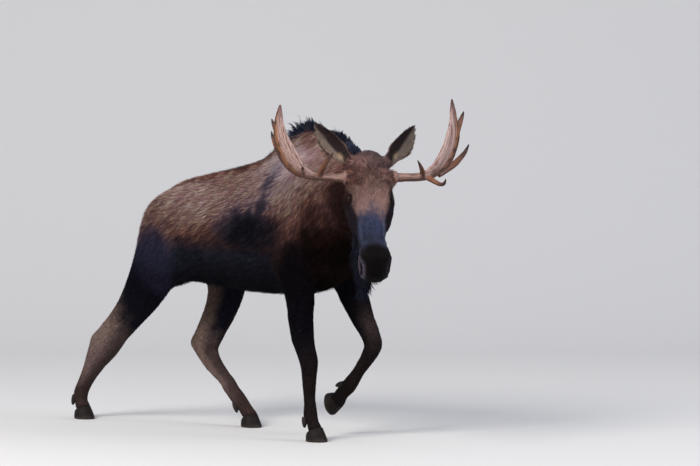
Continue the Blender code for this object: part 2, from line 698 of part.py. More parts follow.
# ---- antlers ----------------------------------------------------------------------------
# Rows are sideways, rise and ahead of the middle between the burrs, then half thickness and
# half width. Palms are blades whose width runs outwards and backwards.
ANTLERS = {
    "right": {
        "side": RIGHT,
        "beam": [
            (0.100, -0.010, 0.000, 0.030, 0.030),
            (0.114, -0.010, 0.000, 0.038, 0.038),
            (0.126, -0.010, -0.002, 0.030, 0.030),
            (0.150, -0.011, -0.006, 0.023, 0.023),
            (0.200, -0.008, -0.016, 0.021, 0.022),
            (0.255, -0.006, -0.028, 0.021, 0.025),
            (0.310, 0.002, -0.038, 0.020, 0.030),
            (0.360, 0.024, -0.050, 0.018, 0.040),
        ],
        "palm": [
            (0.325, 0.004, -0.040, 0.018, 0.030),
            (0.375, 0.034, -0.054, 0.016, 0.048),
            (0.415, 0.084, -0.068, 0.015, 0.062),
            (0.446, 0.140, -0.080, 0.014, 0.060),
            (0.468, 0.205, -0.090, 0.013, 0.048),
            (0.476, 0.270, -0.098, 0.012, 0.034),
            (0.474, 0.325, -0.104, 0.011, 0.022),
            (0.468, 0.378, -0.108, 0.006, 0.007),
        ],
        "brow_tine": [
            (0.268, -0.002, -0.026, 0.018, 0.020),
            (0.258, 0.036, 0.010, 0.016, 0.016),
            (0.238, 0.078, 0.045, 0.013, 0.013),
            (0.216, 0.112, 0.075, 0.009, 0.009),
            (0.206, 0.128, 0.092, 0.004, 0.004),
        ],
        "spur": [
            (0.352, 0.010, -0.040, 0.013, 0.013),
            (0.358, 0.034, -0.020, 0.010, 0.010),
            (0.362, 0.052, -0.008, 0.004, 0.004),
        ],
        "upper_point": [
            (0.468, 0.190, -0.118, 0.011, 0.020),
            (0.486, 0.232, -0.148, 0.011, 0.014),
            (0.501, 0.276, -0.166, 0.009, 0.010),
            (0.508, 0.304, -0.174, 0.004, 0.004),
        ],
        "lower_point": [
            (0.460, 0.120, -0.122, 0.012, 0.022),
            (0.487, 0.158, -0.162, 0.011, 0.015),
            (0.502, 0.204, -0.188, 0.009, 0.010),
            (0.507, 0.236, -0.198, 0.004, 0.004),
        ],
    },
    "left": {
        "side": LEFT,
        "beam": [
            (0.100, -0.010, 0.000, 0.030, 0.030),
            (0.114, -0.010, 0.000, 0.038, 0.038),
            (0.126, -0.010, -0.002, 0.030, 0.030),
            (0.150, -0.011, -0.006, 0.024, 0.024),
            (0.200, -0.010, -0.016, 0.023, 0.024),
            (0.255, -0.010, -0.028, 0.022, 0.027),
            (0.310, 0.000, -0.038, 0.021, 0.034),
            (0.360, 0.024, -0.050, 0.018, 0.044),
        ],
        "palm": [
            (0.318, 0.004, -0.040, 0.019, 0.034),
            (0.378, 0.044, -0.055, 0.017, 0.054),
            (0.420, 0.100, -0.070, 0.015, 0.060),
            (0.447, 0.160, -0.082, 0.014, 0.058),
            (0.462, 0.220, -0.092, 0.013, 0.054),
            (0.464, 0.280, -0.100, 0.012, 0.036),
            (0.461, 0.345, -0.106, 0.011, 0.022),
            (0.456, 0.407, -0.110, 0.005, 0.006),
        ],
        "brow_tine": [
            (0.290, -0.004, -0.030, 0.018, 0.018),
            (0.280, 0.026, 0.006, 0.014, 0.014),
            (0.264, 0.056, 0.040, 0.010, 0.010),
            (0.246, 0.085, 0.068, 0.004, 0.004),
        ],
        "fore_tine": [
            (0.308, -0.004, -0.030, 0.020, 0.020),
            (0.335, -0.026, 0.020, 0.015, 0.015),
            (0.366, -0.044, 0.060, 0.012, 0.012),
            (0.386, -0.040, 0.086, 0.010, 0.010),
            (0.394, -0.012, 0.100, 0.004, 0.004),
        ],
        "outer_point": [
            (0.478, 0.215, -0.110, 0.012, 0.026),
            (0.506, 0.282, -0.136, 0.011, 0.018),
            (0.520, 0.314, -0.150, 0.009, 0.011),
            (0.530, 0.340, -0.160, 0.004, 0.004),
        ],
        "rear_tine": [
            (0.378, 0.006, -0.072, 0.017, 0.026),
            (0.470, 0.053, -0.134, 0.0155, 0.021),
            (0.506, 0.083, -0.156, 0.014, 0.017),
            (0.538, 0.117, -0.174, 0.011, 0.013),
            (0.563, 0.161, -0.186, 0.004, 0.005),
        ],
    },
}


def palm_width_direction(side):
    """Direction across a palm: outwards, backwards and a little down."""
    return (HEAD_LEFT * (side * 0.74) - HEADING * 0.62 - Vector((0, 0, 0.25))).normalized()


def antler_rows(antler, part):
    """World rows of one tine, beam or palm."""
    rows = []
    for side, rise, ahead, thick, half in antler[part]:
        rows.append((*antler_point(antler["side"] * side, rise, ahead), thick, half))
    return rows


def antler_cut(antler, part, row, radius):
    """Slit across a tine at one of its rows, square to its path."""
    rows = antler_rows(antler, part)
    point = Vector(rows[row][:3])
    way = Vector(rows[row + 1][:3]) - Vector(rows[row - 1][:3] if row else rows[row][:3])
    return disc(point, way, radius)


def tine_parts(antler):
    return [part for part in antler if part not in ("side", "spur")]


def build_antler(name, triangles):
    """Fuse one antler and part it at its main forks."""
    antler = ANTLERS[name]
    across = tuple(palm_width_direction(antler["side"]))
    forms = []
    for part in antler:
        if part != "side":
            forms.append(limb(antler_rows(antler, part), sides=14, lateral=across))
    skin = fuse("antler", forms, ANTLER_VOXEL, 3)
    thin_out(skin, triangles)
    outward = HEAD_LEFT * antler["side"]
    cuts = [disc(antler_point(antler["side"] * (ANTLER_ROOT + SLIT + GAP), -0.010, 0), outward, 0.10)]
    cuts.append(antler_cut(antler, "palm", 1, 0.085))
    marks = {"offcut": antler_rows(antler, "beam")[0][:3]}
    for part in tine_parts(antler):
        rows = antler_rows(antler, part)
        marks["antler_%s_%s" % (name, part)] = rows[len(rows) // 2][:3]
        if part not in ("beam", "palm"):
            cuts.append(antler_cut(antler, part, 1, 2.2 * rows[1][4]))
    cut_away(skin, cuts)
    return name_parts(skin, marks)


# ---- the flesh: one skin, parted by slits -------------------------------------------------
def keep_detail(point):
    """Weight for thinning out: low on the head and the lower legs, where forms are small."""
    to_head = (point - head_point(0.33, 0, -0.11)).length
    if to_head < 0.45:
        return 0.05
    if point.z < 0.50:
        return 0.35
    return 1.0


def broad_form(point):
    """1 on the trunk, the neck's sides and the thighs, 0 on the crest, the head and below the hocks."""
    off_head = min(max(((point - head_point(0.33, 0, -0.11)).length - 0.40) / 0.08, 0.0), 1.0)
    above_knees = min(max((point.z - 0.50) / 0.15, 0.0), 1.0)
    crest = min(max((0.10 - abs(point.y)) / 0.06, 0.0), 1.0) * min(max((point.z - 1.45) / 0.10, 0.0), 1.0)
    tail = 1.0 if point.x < -1.335 and abs(point.y) < 0.06 else 0.0
    return off_head * above_knees * (1 - 0.8 * crest) * (1 - tail)


def midpoint(rows, first, last):
    chosen = [Vector(row[:3]) for row in rows[first:last]]
    return sum(chosen, Vector()) / len(chosen)


def leg_cuts(name, leg):
    """Slits at the top of a leg, at its knee or hock, and at the coronet."""
    path = leg["path"]
    side = leg["side"]
    if name.endswith("fore"):
        top = plate(Vector(path[2][:3]) + Vector((-0.010, side * 0.010, 0.005)), (0, side * 0.62, -0.78),
                    (1, 0, 0), 0.265, 0.240)
    elif name == "right_hind":
        top = plate((-1.130, side * 0.150, 0.875), (-0.18, side * 0.56, -0.80), (1, 0, 0), 0.300, 0.260)
    else:
        top = plate((-1.060, side * 0.150, 0.860), (0.00, side * 0.56, -0.83), (1, 0, 0), 0.315, 0.260)
    knee = leg["knee"]
    way = Vector(path[knee + 1][:3]) - Vector(path[knee - 1][:3])
    knee_cut = disc(Vector(path[knee][:3]) + way.normalized() * 0.018, way, 0.150)
    middle, normal = coronet_plane(leg)
    return [top, knee_cut, disc(middle, normal, 0.085)]


def flesh_cuts():
    """Thin plates that part the skin, and the sockets of the eyes and dewclaws."""
    cuts = [
        disc((0.100, 0.0, 1.350), (0.967, 0.0, 0.256), 0.46),
        disc((0.331, -0.085, 1.375), (0.719, -0.625, -0.305), 0.315),
        plate((-1.358, 0.0, 1.155), (-0.93, 0.0, 0.36), (0, 1, 0), 0.085, 0.120),
        plate((0.345, -0.115, 1.100), (0.0, 0.0, -1.0), (1, 0, 0), 0.068, 0.100),
    ]
    for side in (LEFT, RIGHT):
        root, tip, _ = ear_axes(side)
        cuts.append(disc(root + tip * EAR_CUT, tip, 0.085))
        cuts.append(burr_seat(side))
        cuts.append(mass(eye_centre(side), (EYE_RADIUS + 2 * GAP,) * 3, rings=7, sides=10))
    for name, leg in LEGS.items():
        cuts += leg_cuts(name, leg)
        for side in (LEFT, RIGHT):
            cuts.append(dewclaw(leg, side, GAP))
    return cuts


def flesh_marks():
    """Name and rough middle of each part that the slits leave."""
    marks = {
        "trunk": (-0.600, 0.0, 1.150),
        "neck": (0.180, -0.030, 1.370),
        "head": head_point(0.300, 0, -0.120),
        "bell": (0.347, -0.113, 1.000),
        "tail": (-1.385, 0.0, 1.120),
    }
    for side, word in ((LEFT, "left"), (RIGHT, "right")):
        root, tip, _ = ear_axes(side)
        marks["offcut_ear_" + word] = root + tip * (EAR_CUT + 0.010)
    for name, leg in LEGS.items():
        path, knee = leg["path"], leg["knee"]
        marks["leg_%s_upper" % name] = midpoint(path, 3, knee + 1)
        marks["leg_%s_lower" % name] = midpoint(path, knee + 1, len(path))
        marks["offcut_" + name] = Vector(path[-1][:3]) + (Vector(path[-1][:3]) - Vector(path[-2][:3])) * 0.3
    return marks


def build_flesh(triangles):
    forms = trunk_forms() + neck_forms() + tail_forms() + head_forms() + bell_forms()
    for leg in LEGS.values():
        forms += leg_forms(leg)
    skin = fuse("skin", forms, BODY_VOXEL, 5, broad_form)
    thin_out(skin, triangles, keep_detail)
    cut_away(skin, flesh_cuts())
    return name_parts(skin, flesh_marks())


# ---- finishing ----------------------------------------------------------------------------
def material_for(name):
    """Finish of a node by its name."""
    kind = "coat"
    for word, choice in (("antler", "antler"), ("hoof", "hoof"), ("dewclaw", "hoof"), ("eye", "eye"),
                         ("ear_", "ear"), ("neck", "coat"), ("bell", "mane"), ("tail", "mane"),
                         ("head", "face"), ("hind_lower", "leg"), ("leg_", "dark_leg")):
        if name.startswith(word) or word in name:
            kind = choice
            break
    colour, roughness = COLOURS[kind]
    material = bpy.data.materials.get(kind) or bpy.data.materials.new(kind)
    material.use_nodes = True
    shader = material.node_tree.nodes["Principled BSDF"]
    shader.inputs["Base Color"].default_value = (*colour, 1.0)
    shader.inputs["Roughness"].default_value = roughness
    shader.inputs["Metallic"].default_value = 0.0
    return material


def build_moose():
    pieces = build_flesh(FLESH_TRIANGLES)
    for name in ANTLERS:
        pieces.update(build_antler(name, ANTLER_TRIANGLES))
    for side, word in ((LEFT, "left"), (RIGHT, "right")):
        pieces["ear_" + word] = new_object("ear_" + word, *ear_form(side))
        eye = mass(eye_centre(side), (EYE_RADIUS,) * 3, rings=7, sides=10)
        pieces["eye_" + word] = new_object("eye_" + word, *eye)
    for name, leg in LEGS.items():
        outer = "left" if leg["side"] == LEFT else "right"
        inner = "right" if leg["side"] == LEFT else "left"
        for side, word in ((leg["side"], "outer"), (-leg["side"], "inner")):
            hoof = "hoof_%s_%s" % (name, word)
            pieces[hoof] = new_object(hoof, *claw(leg, side))
            claws = "dewclaw_%s_%s" % (name, word)
            pieces[claws] = new_object(claws, *dewclaw(leg, side))
    return pieces


def centre_on_floor(pieces):
    """Move every mesh so that the origin is the bottom centre of the model's box."""
    corners = np.array([v.co[:] for obj in pieces.values() for v in obj.data.vertices])
    low, high = corners.min(axis=0), corners.max(axis=0)
    shift = Vector((-(low[0] + high[0]) / 2, -(low[1] + high[1]) / 2, -low[2]))
    for obj in pieces.values():
        obj.data.transform(Matrix.Translation(shift))
    return shift


moose = build_moose()
frame_shift = centre_on_floor(moose)
for node, body in moose.items():
    body.name = node
    body.data.name = node
    body.data.materials.clear()
    body.data.materials.append(material_for(node))
    if node.startswith("eye") or node.startswith("ear_"):
        body.data.shade_smooth()
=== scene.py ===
"""Looks of a young bull moose in mid stride, a still life-size model.

One skin is fused from the frame's flesh nodes, let in by the depth of the coat, and given lids,
nostrils and lips. The coat lies over it as joined tufts that follow the lie of the hair. Antlers,
eyes, hooves and dewclaws are pieces of their own.
"""
import math

import bmesh
import bpy
import numpy as np
from mathutils import Matrix, Vector


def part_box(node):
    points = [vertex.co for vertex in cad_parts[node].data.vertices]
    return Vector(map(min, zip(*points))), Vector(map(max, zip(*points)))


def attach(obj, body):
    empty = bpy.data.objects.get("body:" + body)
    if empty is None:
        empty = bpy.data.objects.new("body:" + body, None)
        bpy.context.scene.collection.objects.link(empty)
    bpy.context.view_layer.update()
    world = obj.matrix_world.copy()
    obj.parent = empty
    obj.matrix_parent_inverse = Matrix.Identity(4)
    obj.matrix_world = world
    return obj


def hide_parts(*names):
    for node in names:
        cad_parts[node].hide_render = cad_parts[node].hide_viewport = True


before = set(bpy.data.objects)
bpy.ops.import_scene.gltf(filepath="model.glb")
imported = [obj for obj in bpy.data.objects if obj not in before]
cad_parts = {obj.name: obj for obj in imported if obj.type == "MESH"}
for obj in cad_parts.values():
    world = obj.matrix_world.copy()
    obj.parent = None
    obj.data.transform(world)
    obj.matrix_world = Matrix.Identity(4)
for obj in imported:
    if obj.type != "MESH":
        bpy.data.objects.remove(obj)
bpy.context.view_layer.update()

# ---- sizes and places, in metres; tables that go through mm are in millimetres ----
HEAD_YAW = -41.0         # degrees: the head turns to the animal's right
HEAD_PITCH = 60.0        # degrees that the face points below the level
EYE_PLACE = (0.243, 0.1065, -0.062)      # along the face, to the side, above the face line
EYE_OUT = 0.018          # how far the eye sits further out than the solid one
CROWN_FROM_STRIDE = np.array((0.431, -0.150, 1.581))
SKIN_VOXEL = 0.0045
SKIN_TRIANGLES = 140000
SIDES = {"left": 1, "right": -1}
LEFT, RIGHT = SIDES.values()
UP = np.array((0.0, 0.0, 1.0))


def mm(rows):
    """Array in metres from numbers in millimetres."""
    return np.array(rows, dtype=float) / 1000


def table(text):
    """Named arrays of rows: each entry has its name, a colon, and rows with commas between them."""
    entries = (entry.split(":") for entry in text.split(";"))
    return {name.strip(): mm([row.split() for row in rows.split(",")]) for name, rows in entries}


def unit(vectors):
    """Vectors divided by their lengths."""
    vectors = np.asarray(vectors, dtype=float)
    return vectors / np.maximum(np.linalg.norm(vectors, axis=-1, keepdims=True), 1e-9)


def far(points, place):
    """Distance of each point from the place."""
    return np.linalg.norm(points - place, axis=1)


def head_axes():
    """Along the face, left, up from the brow, and the level heading of the turned, lowered head."""
    yaw = math.radians(HEAD_YAW)
    pitch = math.radians(HEAD_PITCH)
    level = np.array((math.cos(yaw), math.sin(yaw), 0.0))
    forward = level * math.cos(pitch) - UP * math.sin(pitch)
    left = np.array((-math.sin(yaw), math.cos(yaw), 0.0))
    return forward, left, np.cross(forward, left), level


FACE, HEAD_LEFT, BROW, HEADING = head_axes()
eye_low, eye_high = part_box("eye_right")
CROWN = (np.array(eye_low) + np.array(eye_high)) / 2 - (
    FACE * EYE_PLACE[0] - HEAD_LEFT * EYE_PLACE[1] + BROW * EYE_PLACE[2])
STRIDE = CROWN - CROWN_FROM_STRIDE       # on the floor under the planted right fore hoof


def head_point(along, side, above):
    """Point of the head: along the face from the crown, to the animal's left, above the face line."""
    return CROWN + FACE * along + HEAD_LEFT * side + BROW * above


EYES = {side: head_point(EYE_PLACE[0], side * (EYE_PLACE[1] + EYE_OUT), EYE_PLACE[2])
        for side in (LEFT, RIGHT)}


def in_head(points):
    """The same three measures for an array of points."""
    return (points - CROWN) @ np.stack([FACE, HEAD_LEFT, BROW], axis=1)


def ease(*steps):
    """Product of smooth steps, each given by a value, the start where it is 0 and the end where it
    is 1; the start may be the larger."""
    total = 1.0
    for value, start, end in zip(steps[::3], steps[1::3], steps[2::3]):
        share = np.clip((value - start) / (end - start), 0.0, 1.0)
        total = total * (share * share * (3 - 2 * share))
    return total


def bump(*bells):
    """Product of bell curves of height 1, each given by a value, its middle and its width."""
    total = 1.0
    for value, middle, width in zip(bells[::3], bells[1::3], bells[2::3]):
        total = total * np.exp(-((value - middle) / width) ** 2)
    return total


# ---- meshes ----
def linked(name, data):
    """New object with the data, in the scene."""
    obj = bpy.data.objects.new(name, data)
    bpy.context.scene.collection.objects.link(obj)
    return obj


def mesh_object(name, points, triangles):
    """Object at the origin from an array of points and an array of faces with equal side counts."""
    mesh = bpy.data.meshes.new(name)
    count, sides = triangles.shape
    mesh.vertices.add(len(points))
    mesh.vertices.foreach_set("co", np.asarray(points, np.float32).ravel())
    mesh.loops.add(count * sides)
    mesh.loops.foreach_set("vertex_index", triangles.astype(np.int32).ravel())
    mesh.polygons.add(count)
    mesh.polygons.foreach_set("loop_start", np.arange(count, dtype=np.int32) * sides)
    mesh.polygons.foreach_set("use_smooth", np.full(count, True))
    mesh.update(calc_edges=True)
    return linked(name, mesh)


def read(items, key, columns, kind):
    """Array of what every item of a mesh holds under the key."""
    flat = np.empty(len(items) * columns, kind)
    items.foreach_get(key, flat)
    return flat.reshape(-1, columns)


def points_of(obj):
    """The mesh's points as an array."""
    return read(obj.data.vertices, "co", 3, np.float32).astype(float)


def triangles_of(obj):
    """The mesh's faces as an array of triangles."""
    obj.data.calc_loop_triangles()
    return read(obj.data.loop_triangles, "vertices", 3, np.int32)


def normals_of(points, triangles):
    """Point normals: the sum of the face normals round each point, weighted by area."""
    a, b, c = (points[triangles[:, i]] for i in range(3))
    face = np.cross(b - a, c - a)
    total = np.zeros_like(points)
    for i in range(3):
        for axis in range(3):
            total[:, axis] += np.bincount(triangles[:, i], face[:, axis], len(points))
    return unit(total)


def edges_of(triangles):
    """Unique edges of the triangles, as pairs of points."""
    pairs = np.concatenate([triangles[:, [0, 1]], triangles[:, [1, 2]], triangles[:, [2, 0]]])
    return np.unique(np.sort(pairs, axis=1), axis=0)


def spread(values, edges, steps, share=0.5):
    """Repeated averaging of point values with their neighbours; share may differ by point."""
    count = len(values)
    ends = np.concatenate([edges[:, 0], edges[:, 1]])
    others = np.concatenate([edges[:, 1], edges[:, 0]])
    degree = np.maximum(np.bincount(ends, minlength=count), 1)
    share = np.broadcast_to(share, (count,))
    columns = values.astype(float).reshape(count, -1)
    for _ in range(steps):
        for axis in range(columns.shape[1]):
            mean = np.bincount(ends, columns[others, axis], count) / degree
            columns[:, axis] += share * (mean - columns[:, axis])
    return columns.reshape(values.shape)


def apply_modifiers(obj):
    """Replace the object's mesh by the evaluated one and clear its modifiers."""
    bpy.context.view_layer.update()
    evaluated = obj.evaluated_get(bpy.context.evaluated_depsgraph_get())
    mesh = bpy.data.meshes.new_from_object(evaluated)
    obj.modifiers.clear()
    obj.data = mesh


def remesh(obj, voxel):
    """Fuse what the mesh holds into one closed skin of small squares."""
    fuse = obj.modifiers.new("fuse", "REMESH")
    fuse.mode = "VOXEL"
    fuse.voxel_size = voxel
    apply_modifiers(obj)


def emptied(work, name):
    """Object that takes over what the work mesh holds."""
    mesh = bpy.data.meshes.new(name)
    work.to_mesh(mesh)
    work.free()
    return linked(name, mesh)


# ---- the skin ----
FLESH = sorted(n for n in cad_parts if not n.startswith(("antler", "hoof", "dewclaw", "eye")))
PEDICLE = mm([(28, 18), (58, 32), (90, 41), (112, 42), (130, 39)])     # to the side, and radius


def flesh_copy():
    """Merged copy of the flesh nodes, with the eyeballs to fill their sockets and the furred
    pedicles that carry the antlers."""
    work = bmesh.new()
    for side in (LEFT, RIGHT):
        rows = [(*antler_point(side * reach, -0.010, 0.0), half, half) for reach, half in PEDICLE]
        pedicle = mesh_object("work", *limb(rows, lateral=UP))
        work.from_mesh(pedicle.data)
        bpy.data.objects.remove(pedicle, do_unlink=True)
    for name in FLESH + ["eye_left", "eye_right"]:
        work.from_mesh(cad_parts[name].data)
    bmesh.ops.remove_doubles(work, verts=work.verts, dist=1e-5)
    return emptied(work, "skin")


def fused_skin():
    """One closed skin over all the flesh, thinned out most where the forms are broad."""
    obj = flesh_copy()
    remesh(obj, SKIN_VOXEL)
    points = spread(points_of(obj), read(obj.data.edges, "vertices", 2, np.int32), 6)
    obj.data.vertices.foreach_set("co", np.asarray(points, np.float32).ravel())
    obj.data.update()
    near_head = far(in_head(points), np.array((0.33, 0.0, -0.11)))
    levels = np.where(near_head < 0.46, 0, np.where(points[:, 2] < 0.55, 1, 2))
    group = obj.vertex_groups.new(name="reduce")
    for level, weight in enumerate((0.02, 0.45, 1.0)):
        group.add(np.nonzero(levels == level)[0].tolist(), weight, "REPLACE")
    reduce = obj.modifiers.new("reduce", "DECIMATE")
    reduce.ratio = SKIN_TRIANGLES / (2 * len(obj.data.polygons))
    reduce.vertex_group = group.name
    reduce.vertex_group_factor = 0.002
    apply_modifiers(obj)
    obj.vertex_groups.clear()
    return obj


# ---- regions of the body ----
# Each region is a line through its middle, from under the planted right fore hoof, with the
# region's half size at each point; for the head, points of head_point. Hair lies along them.
LINE_ROWS = table("""
    trunk: -1190 0 1130 190, -1040 0 1120 280, -600 0 1130 320, -150 0 1220 360, 40 0 1260 340;
    neck: 120 -15 1350 270, 240 -60 1360 230, 360 -125 1385 170;
    bell: 345 -115 1200 55, 346 -114 1060 50, 352 -109 830 30;
    tail: -1345 0 1200 40, -1396 0 1090 30, -1400 0 1040 20;
    right_fore: -80 -155 1060 120, -47 -180 790 90, -44 -168 600 75, -4 -150 426 55, -10 -142 250 38,
        -6 -140 140 42, 34 -140 60 45;
    left_fore: -70 155 1060 120, 0 183 810 90, 92 174 665 75, 188 160 520 55, 96 148 372 38,
        20 140 278 42, -54 137 196 45;
    right_hind: -1110 -150 1040 150, -1165 -180 880 150, -1345 -184 640 100, -1555 -170 435 75,
        -1704 -168 255 48, -1776 -168 135 45, -1750 -168 60 45;
    left_hind: -1010 150 1040 150, -950 185 880 150, -982 176 650 100, -1070 150 452 75,
        -956 148 285 48, -816 150 148 45, -730 150 60 45;
    head: 20 0 -125 120, 200 0 -145 140, 420 0 -130 100, 680 0 -105 90""")
FORE = ("right_fore", "left_fore")
HIND = ("right_hind", "left_hind")
LEGS = FORE + HIND
LEG_STEPS = (0, 0.30, 0.50, 1.0)         # shares of a leg's length, for rows of values along it
EAR_ROWS = mm([(45, 45), (140, 50), (250, 35)])          # from the root, and half size
EAR_LENGTH = 0.25
EAR_SPREAD = np.array((0.036, 0.010))    # how far out and up the right ear's tip goes from the solid one
EAR_BROADER = (0.50, 0.26)               # share by which the ears are broader outwards and inwards
# Ridge from the rump to the poll: back to front, middle to the left, height.
RIDGE = mm([(-600, 0, 1500), (-470, 0, 1540), (-385, 0, 1602), (-270, 0, 1684), (-130, 0, 1735),
            (0, 0, 1725), (90, -10, 1690), (180, -36, 1655), (265, -70, 1606), (345, -112, 1562),
            (430, -165, 1500)]).T


def ear_axes(side):
    """Root, direction of the tip and direction that the opening faces, for one ear."""
    root = head_point(0.038, side * 0.104, -0.052)
    tip = unit(HEAD_LEFT * (side * 0.60) + UP * 0.80 - HEADING * 0.10)
    if side == RIGHT:
        tip = unit(EAR_LENGTH * tip - EAR_SPREAD[0] * HEAD_LEFT + EAR_SPREAD[1] * UP)
    mouth = HEADING + HEAD_LEFT * (side * 0.45) - UP * 0.30
    return root, tip, unit(mouth - tip * (mouth @ tip))


def region_lines():
    """Name, points and half sizes of every region's line, in the row frame."""
    found = {}
    for name, rows in LINE_ROWS.items():
        line = np.array([head_point(*row[:3]) for row in rows]) if name == "head" else rows[:, :3] + STRIDE
        found[name] = (line, rows[:, 3])
    for word, side in SIDES.items():
        root, tip, _ = ear_axes(side)
        found["ear_" + word] = (root + EAR_ROWS[:, :1] * tip, EAR_ROWS[:, 1])
    return found


LINES = region_lines()
NAMES = list(LINES)


def along_lines(points, lines):
    """For each line: distance from it over its half size, share of its length, its direction
    there, and the vector out from it."""
    count = len(points)
    near = np.full((len(lines), count), 1e9)
    share = np.zeros((len(lines), count))
    way = np.zeros((len(lines), count, 3))
    out = np.zeros((len(lines), count, 3))
    for k, (line, half) in enumerate(lines):
        steps = np.diff(line, axis=0)
        lengths = np.linalg.norm(steps, axis=1)
        passed = np.concatenate([[0], np.cumsum(lengths)])
        ways = unit(np.gradient(line, axis=0))
        for i, step in enumerate(steps):
            t = np.clip((points - line[i]) @ step / lengths[i] ** 2, 0, 1)
            away = points - line[i] - t[:, None] * step
            gap = np.linalg.norm(away, axis=1) / (half[i] + t * (half[i + 1] - half[i]))
            better = gap < near[k]
            out[k][better] = away[better]
            near[k][better] = gap[better]
            share[k][better] = ((passed[i] + t * lengths[i]) / passed[-1])[better]
            way[k][better] = unit(ways[i] + t[:, None] * (ways[i + 1] - ways[i]))[better]
    return near, share, way, out


def numbers_of(words):
    """Numbers of the regions whose names start with one of the words."""
    return [i for i, name in enumerate(NAMES) if name.startswith(words)]


class Body:
    """Fields over a set of points: measures of place, region weights, and what follows from them."""

    def __init__(self, points, normals):
        self.points, self.normals = points, normals
        self.place = points - STRIDE
        self.head = in_head(points)
        near, self.share, self.way, self.out = along_lines(points, list(LINES.values()))
        weight = np.exp(-9 * (near - near.min(axis=0)))
        self.weight = weight / weight.sum(axis=0)
        self.region = near.argmin(axis=0)

    def of(self, *words):
        """Summed weight of the regions whose names start so."""
        return self.weight[numbers_of(words)].sum(axis=0)

    def along(self, *words):
        """Share of the length of those regions, averaged by weight."""
        weight = self.weight[numbers_of(words)] + 1e-9
        return (self.share[numbers_of(words)] * weight).sum(axis=0) / weight.sum(axis=0)

    def blend(self, legs, **values):
        """A value for each region blended by weight; the legs have a row of values along them."""
        total = self.of(*LEGS) * np.interp(self.along(*LEGS), LEG_STEPS, legs)
        return sum((value * self.of(word) for word, value in values.items()), total)


def crest_of(body):
    """1 along the ridge from the hump to the poll, where the long mane stands."""
    x, y, z = body.place.T
    middle, top = (np.interp(x, RIDGE[0], row) for row in RIDGE[1:])
    half = np.interp(x, (-0.25, 0.0, 0.15), (0.028, 0.031, 0.036))
    ridge = ease(np.abs(y - middle), half, 0.3 * half, top - z, 0.064, 0.037)
    return ridge * ease(x, -0.46, -0.24, x, 0.38, 0.30)


def coat_depth(body):
    """How far the skin lies below the tips of the coat."""
    depth = body.blend((0.014, 0.008, 0.0045, 0.004), trunk=0.018, neck=0.020, bell=0.012,
                       tail=0.006, ear=0.0022, head=0.0045)
    along = body.head[:, 0]
    depth += body.of("head") * (0.005 * ease(along, 0.10, 0.02) - 0.0030 * ease(along, 0.42, 0.60))
    return depth + 0.014 * crest_of(body)


def lean_ear(points):
    """Broaden both ears, and shear the right one outwards and up, the more the nearer its tip."""
    for side in (LEFT, RIGHT):
        root, tip, mouth = ear_axes(side)
        across = np.cross(tip, mouth)
        across = across * np.sign(across @ HEAD_LEFT * side)
        away = points - root
        reach = away @ tip
        share = ease(far(away, reach[:, None] * tip), 0.12, 0.09, reach, 0.02, 0.09)
        beside = away @ across
        points = points + (share * np.where(beside > 0, *EAR_BROADER) * beside)[:, None] * across
    root, tip, _ = ear_axes(RIGHT)
    away = points - root
    reach = away @ tip
    share = np.clip(reach / EAR_LENGTH, 0, 1) * ease(reach, 0.0, 0.05)
    share = share * ease(far(away, reach[:, None] * tip), 0.12, 0.09)
    return points + share[:, None] * (EAR_SPREAD[1] * UP - EAR_SPREAD[0] * HEAD_LEFT)


def let_in(skin):
    """Move the skin inwards from the tips of the coat by the coat's depth."""
    points, triangles = lean_ear(points_of(skin)), triangles_of(skin)
    edges = edges_of(triangles)
    body = Body(points, normals_of(points, triangles))
    broad = np.clip(body.of("trunk", "neck") + 0.6 * body.of(*LEGS), 0, 1)
    points = spread(points, edges, 10, 0.5 * broad * (1 - 0.7 * crest_of(body)))
    inward = unit(spread(normals_of(points, triangles), edges, 8))
    points = points - inward * spread(coat_depth(body), edges, 8)[:, None]
    return spread(points, edges, 3, 0.4 * broad), triangles


# ---- the head's small forms ----
EYE_RADIUS = 0.0185
EYE_BULGE = 0.05         # share by which the front of the eye stands further out
EYE_DEPTH = -0.0020      # from the skin's level in to the front of the eyeball
LID_LONG = 0.0165        # half length of the eye's opening
LID_HIGH = 0.0145        # half height of it
# Places where the skin is divided finer, on both sides: along, aside, above, and radii.
FINER = [((640, 72, -85), (52, 40)), ((560, 70, -165), (50,)), ((655, 55, -160), (50,))]
# Rounded bumps on both sides: height, place along, aside and above, radius along, aside, above.
CHEEK_LUMPS = mm([(6, 320, 105, -125, 70, 35, 45), (-3.5, 312, 100, -75, 35, 30, 22),
                  (-5, 165, 115, -95, 35, 30, 30), (6, 235, 115, -180, 90, 40, 55),
                  (-4.5, 455, 80, -110, 60, 40, 45)])
BROW_LUMPS = mm([(4.5, 205, 98, -30, 30, 22, 22), (5, 600, 52, -20, 45, 30, 30)])
NOSTRIL = mm([(668, -118, 8.5), (664, -96, 10), (648, -76, 9), (624, -64, 6.5), (600, -60, 3)])


def eye_axes(side):
    """Way the eye looks, its long direction towards the nose, and up across it."""
    look = unit(HEAD_LEFT * (side * 0.72) + BROW * 0.60 + FACE * 0.22)
    long = FACE * 0.95 - BROW * 0.30
    long = unit(long - look * (long @ look))
    return look, long, np.cross(long, look) * side


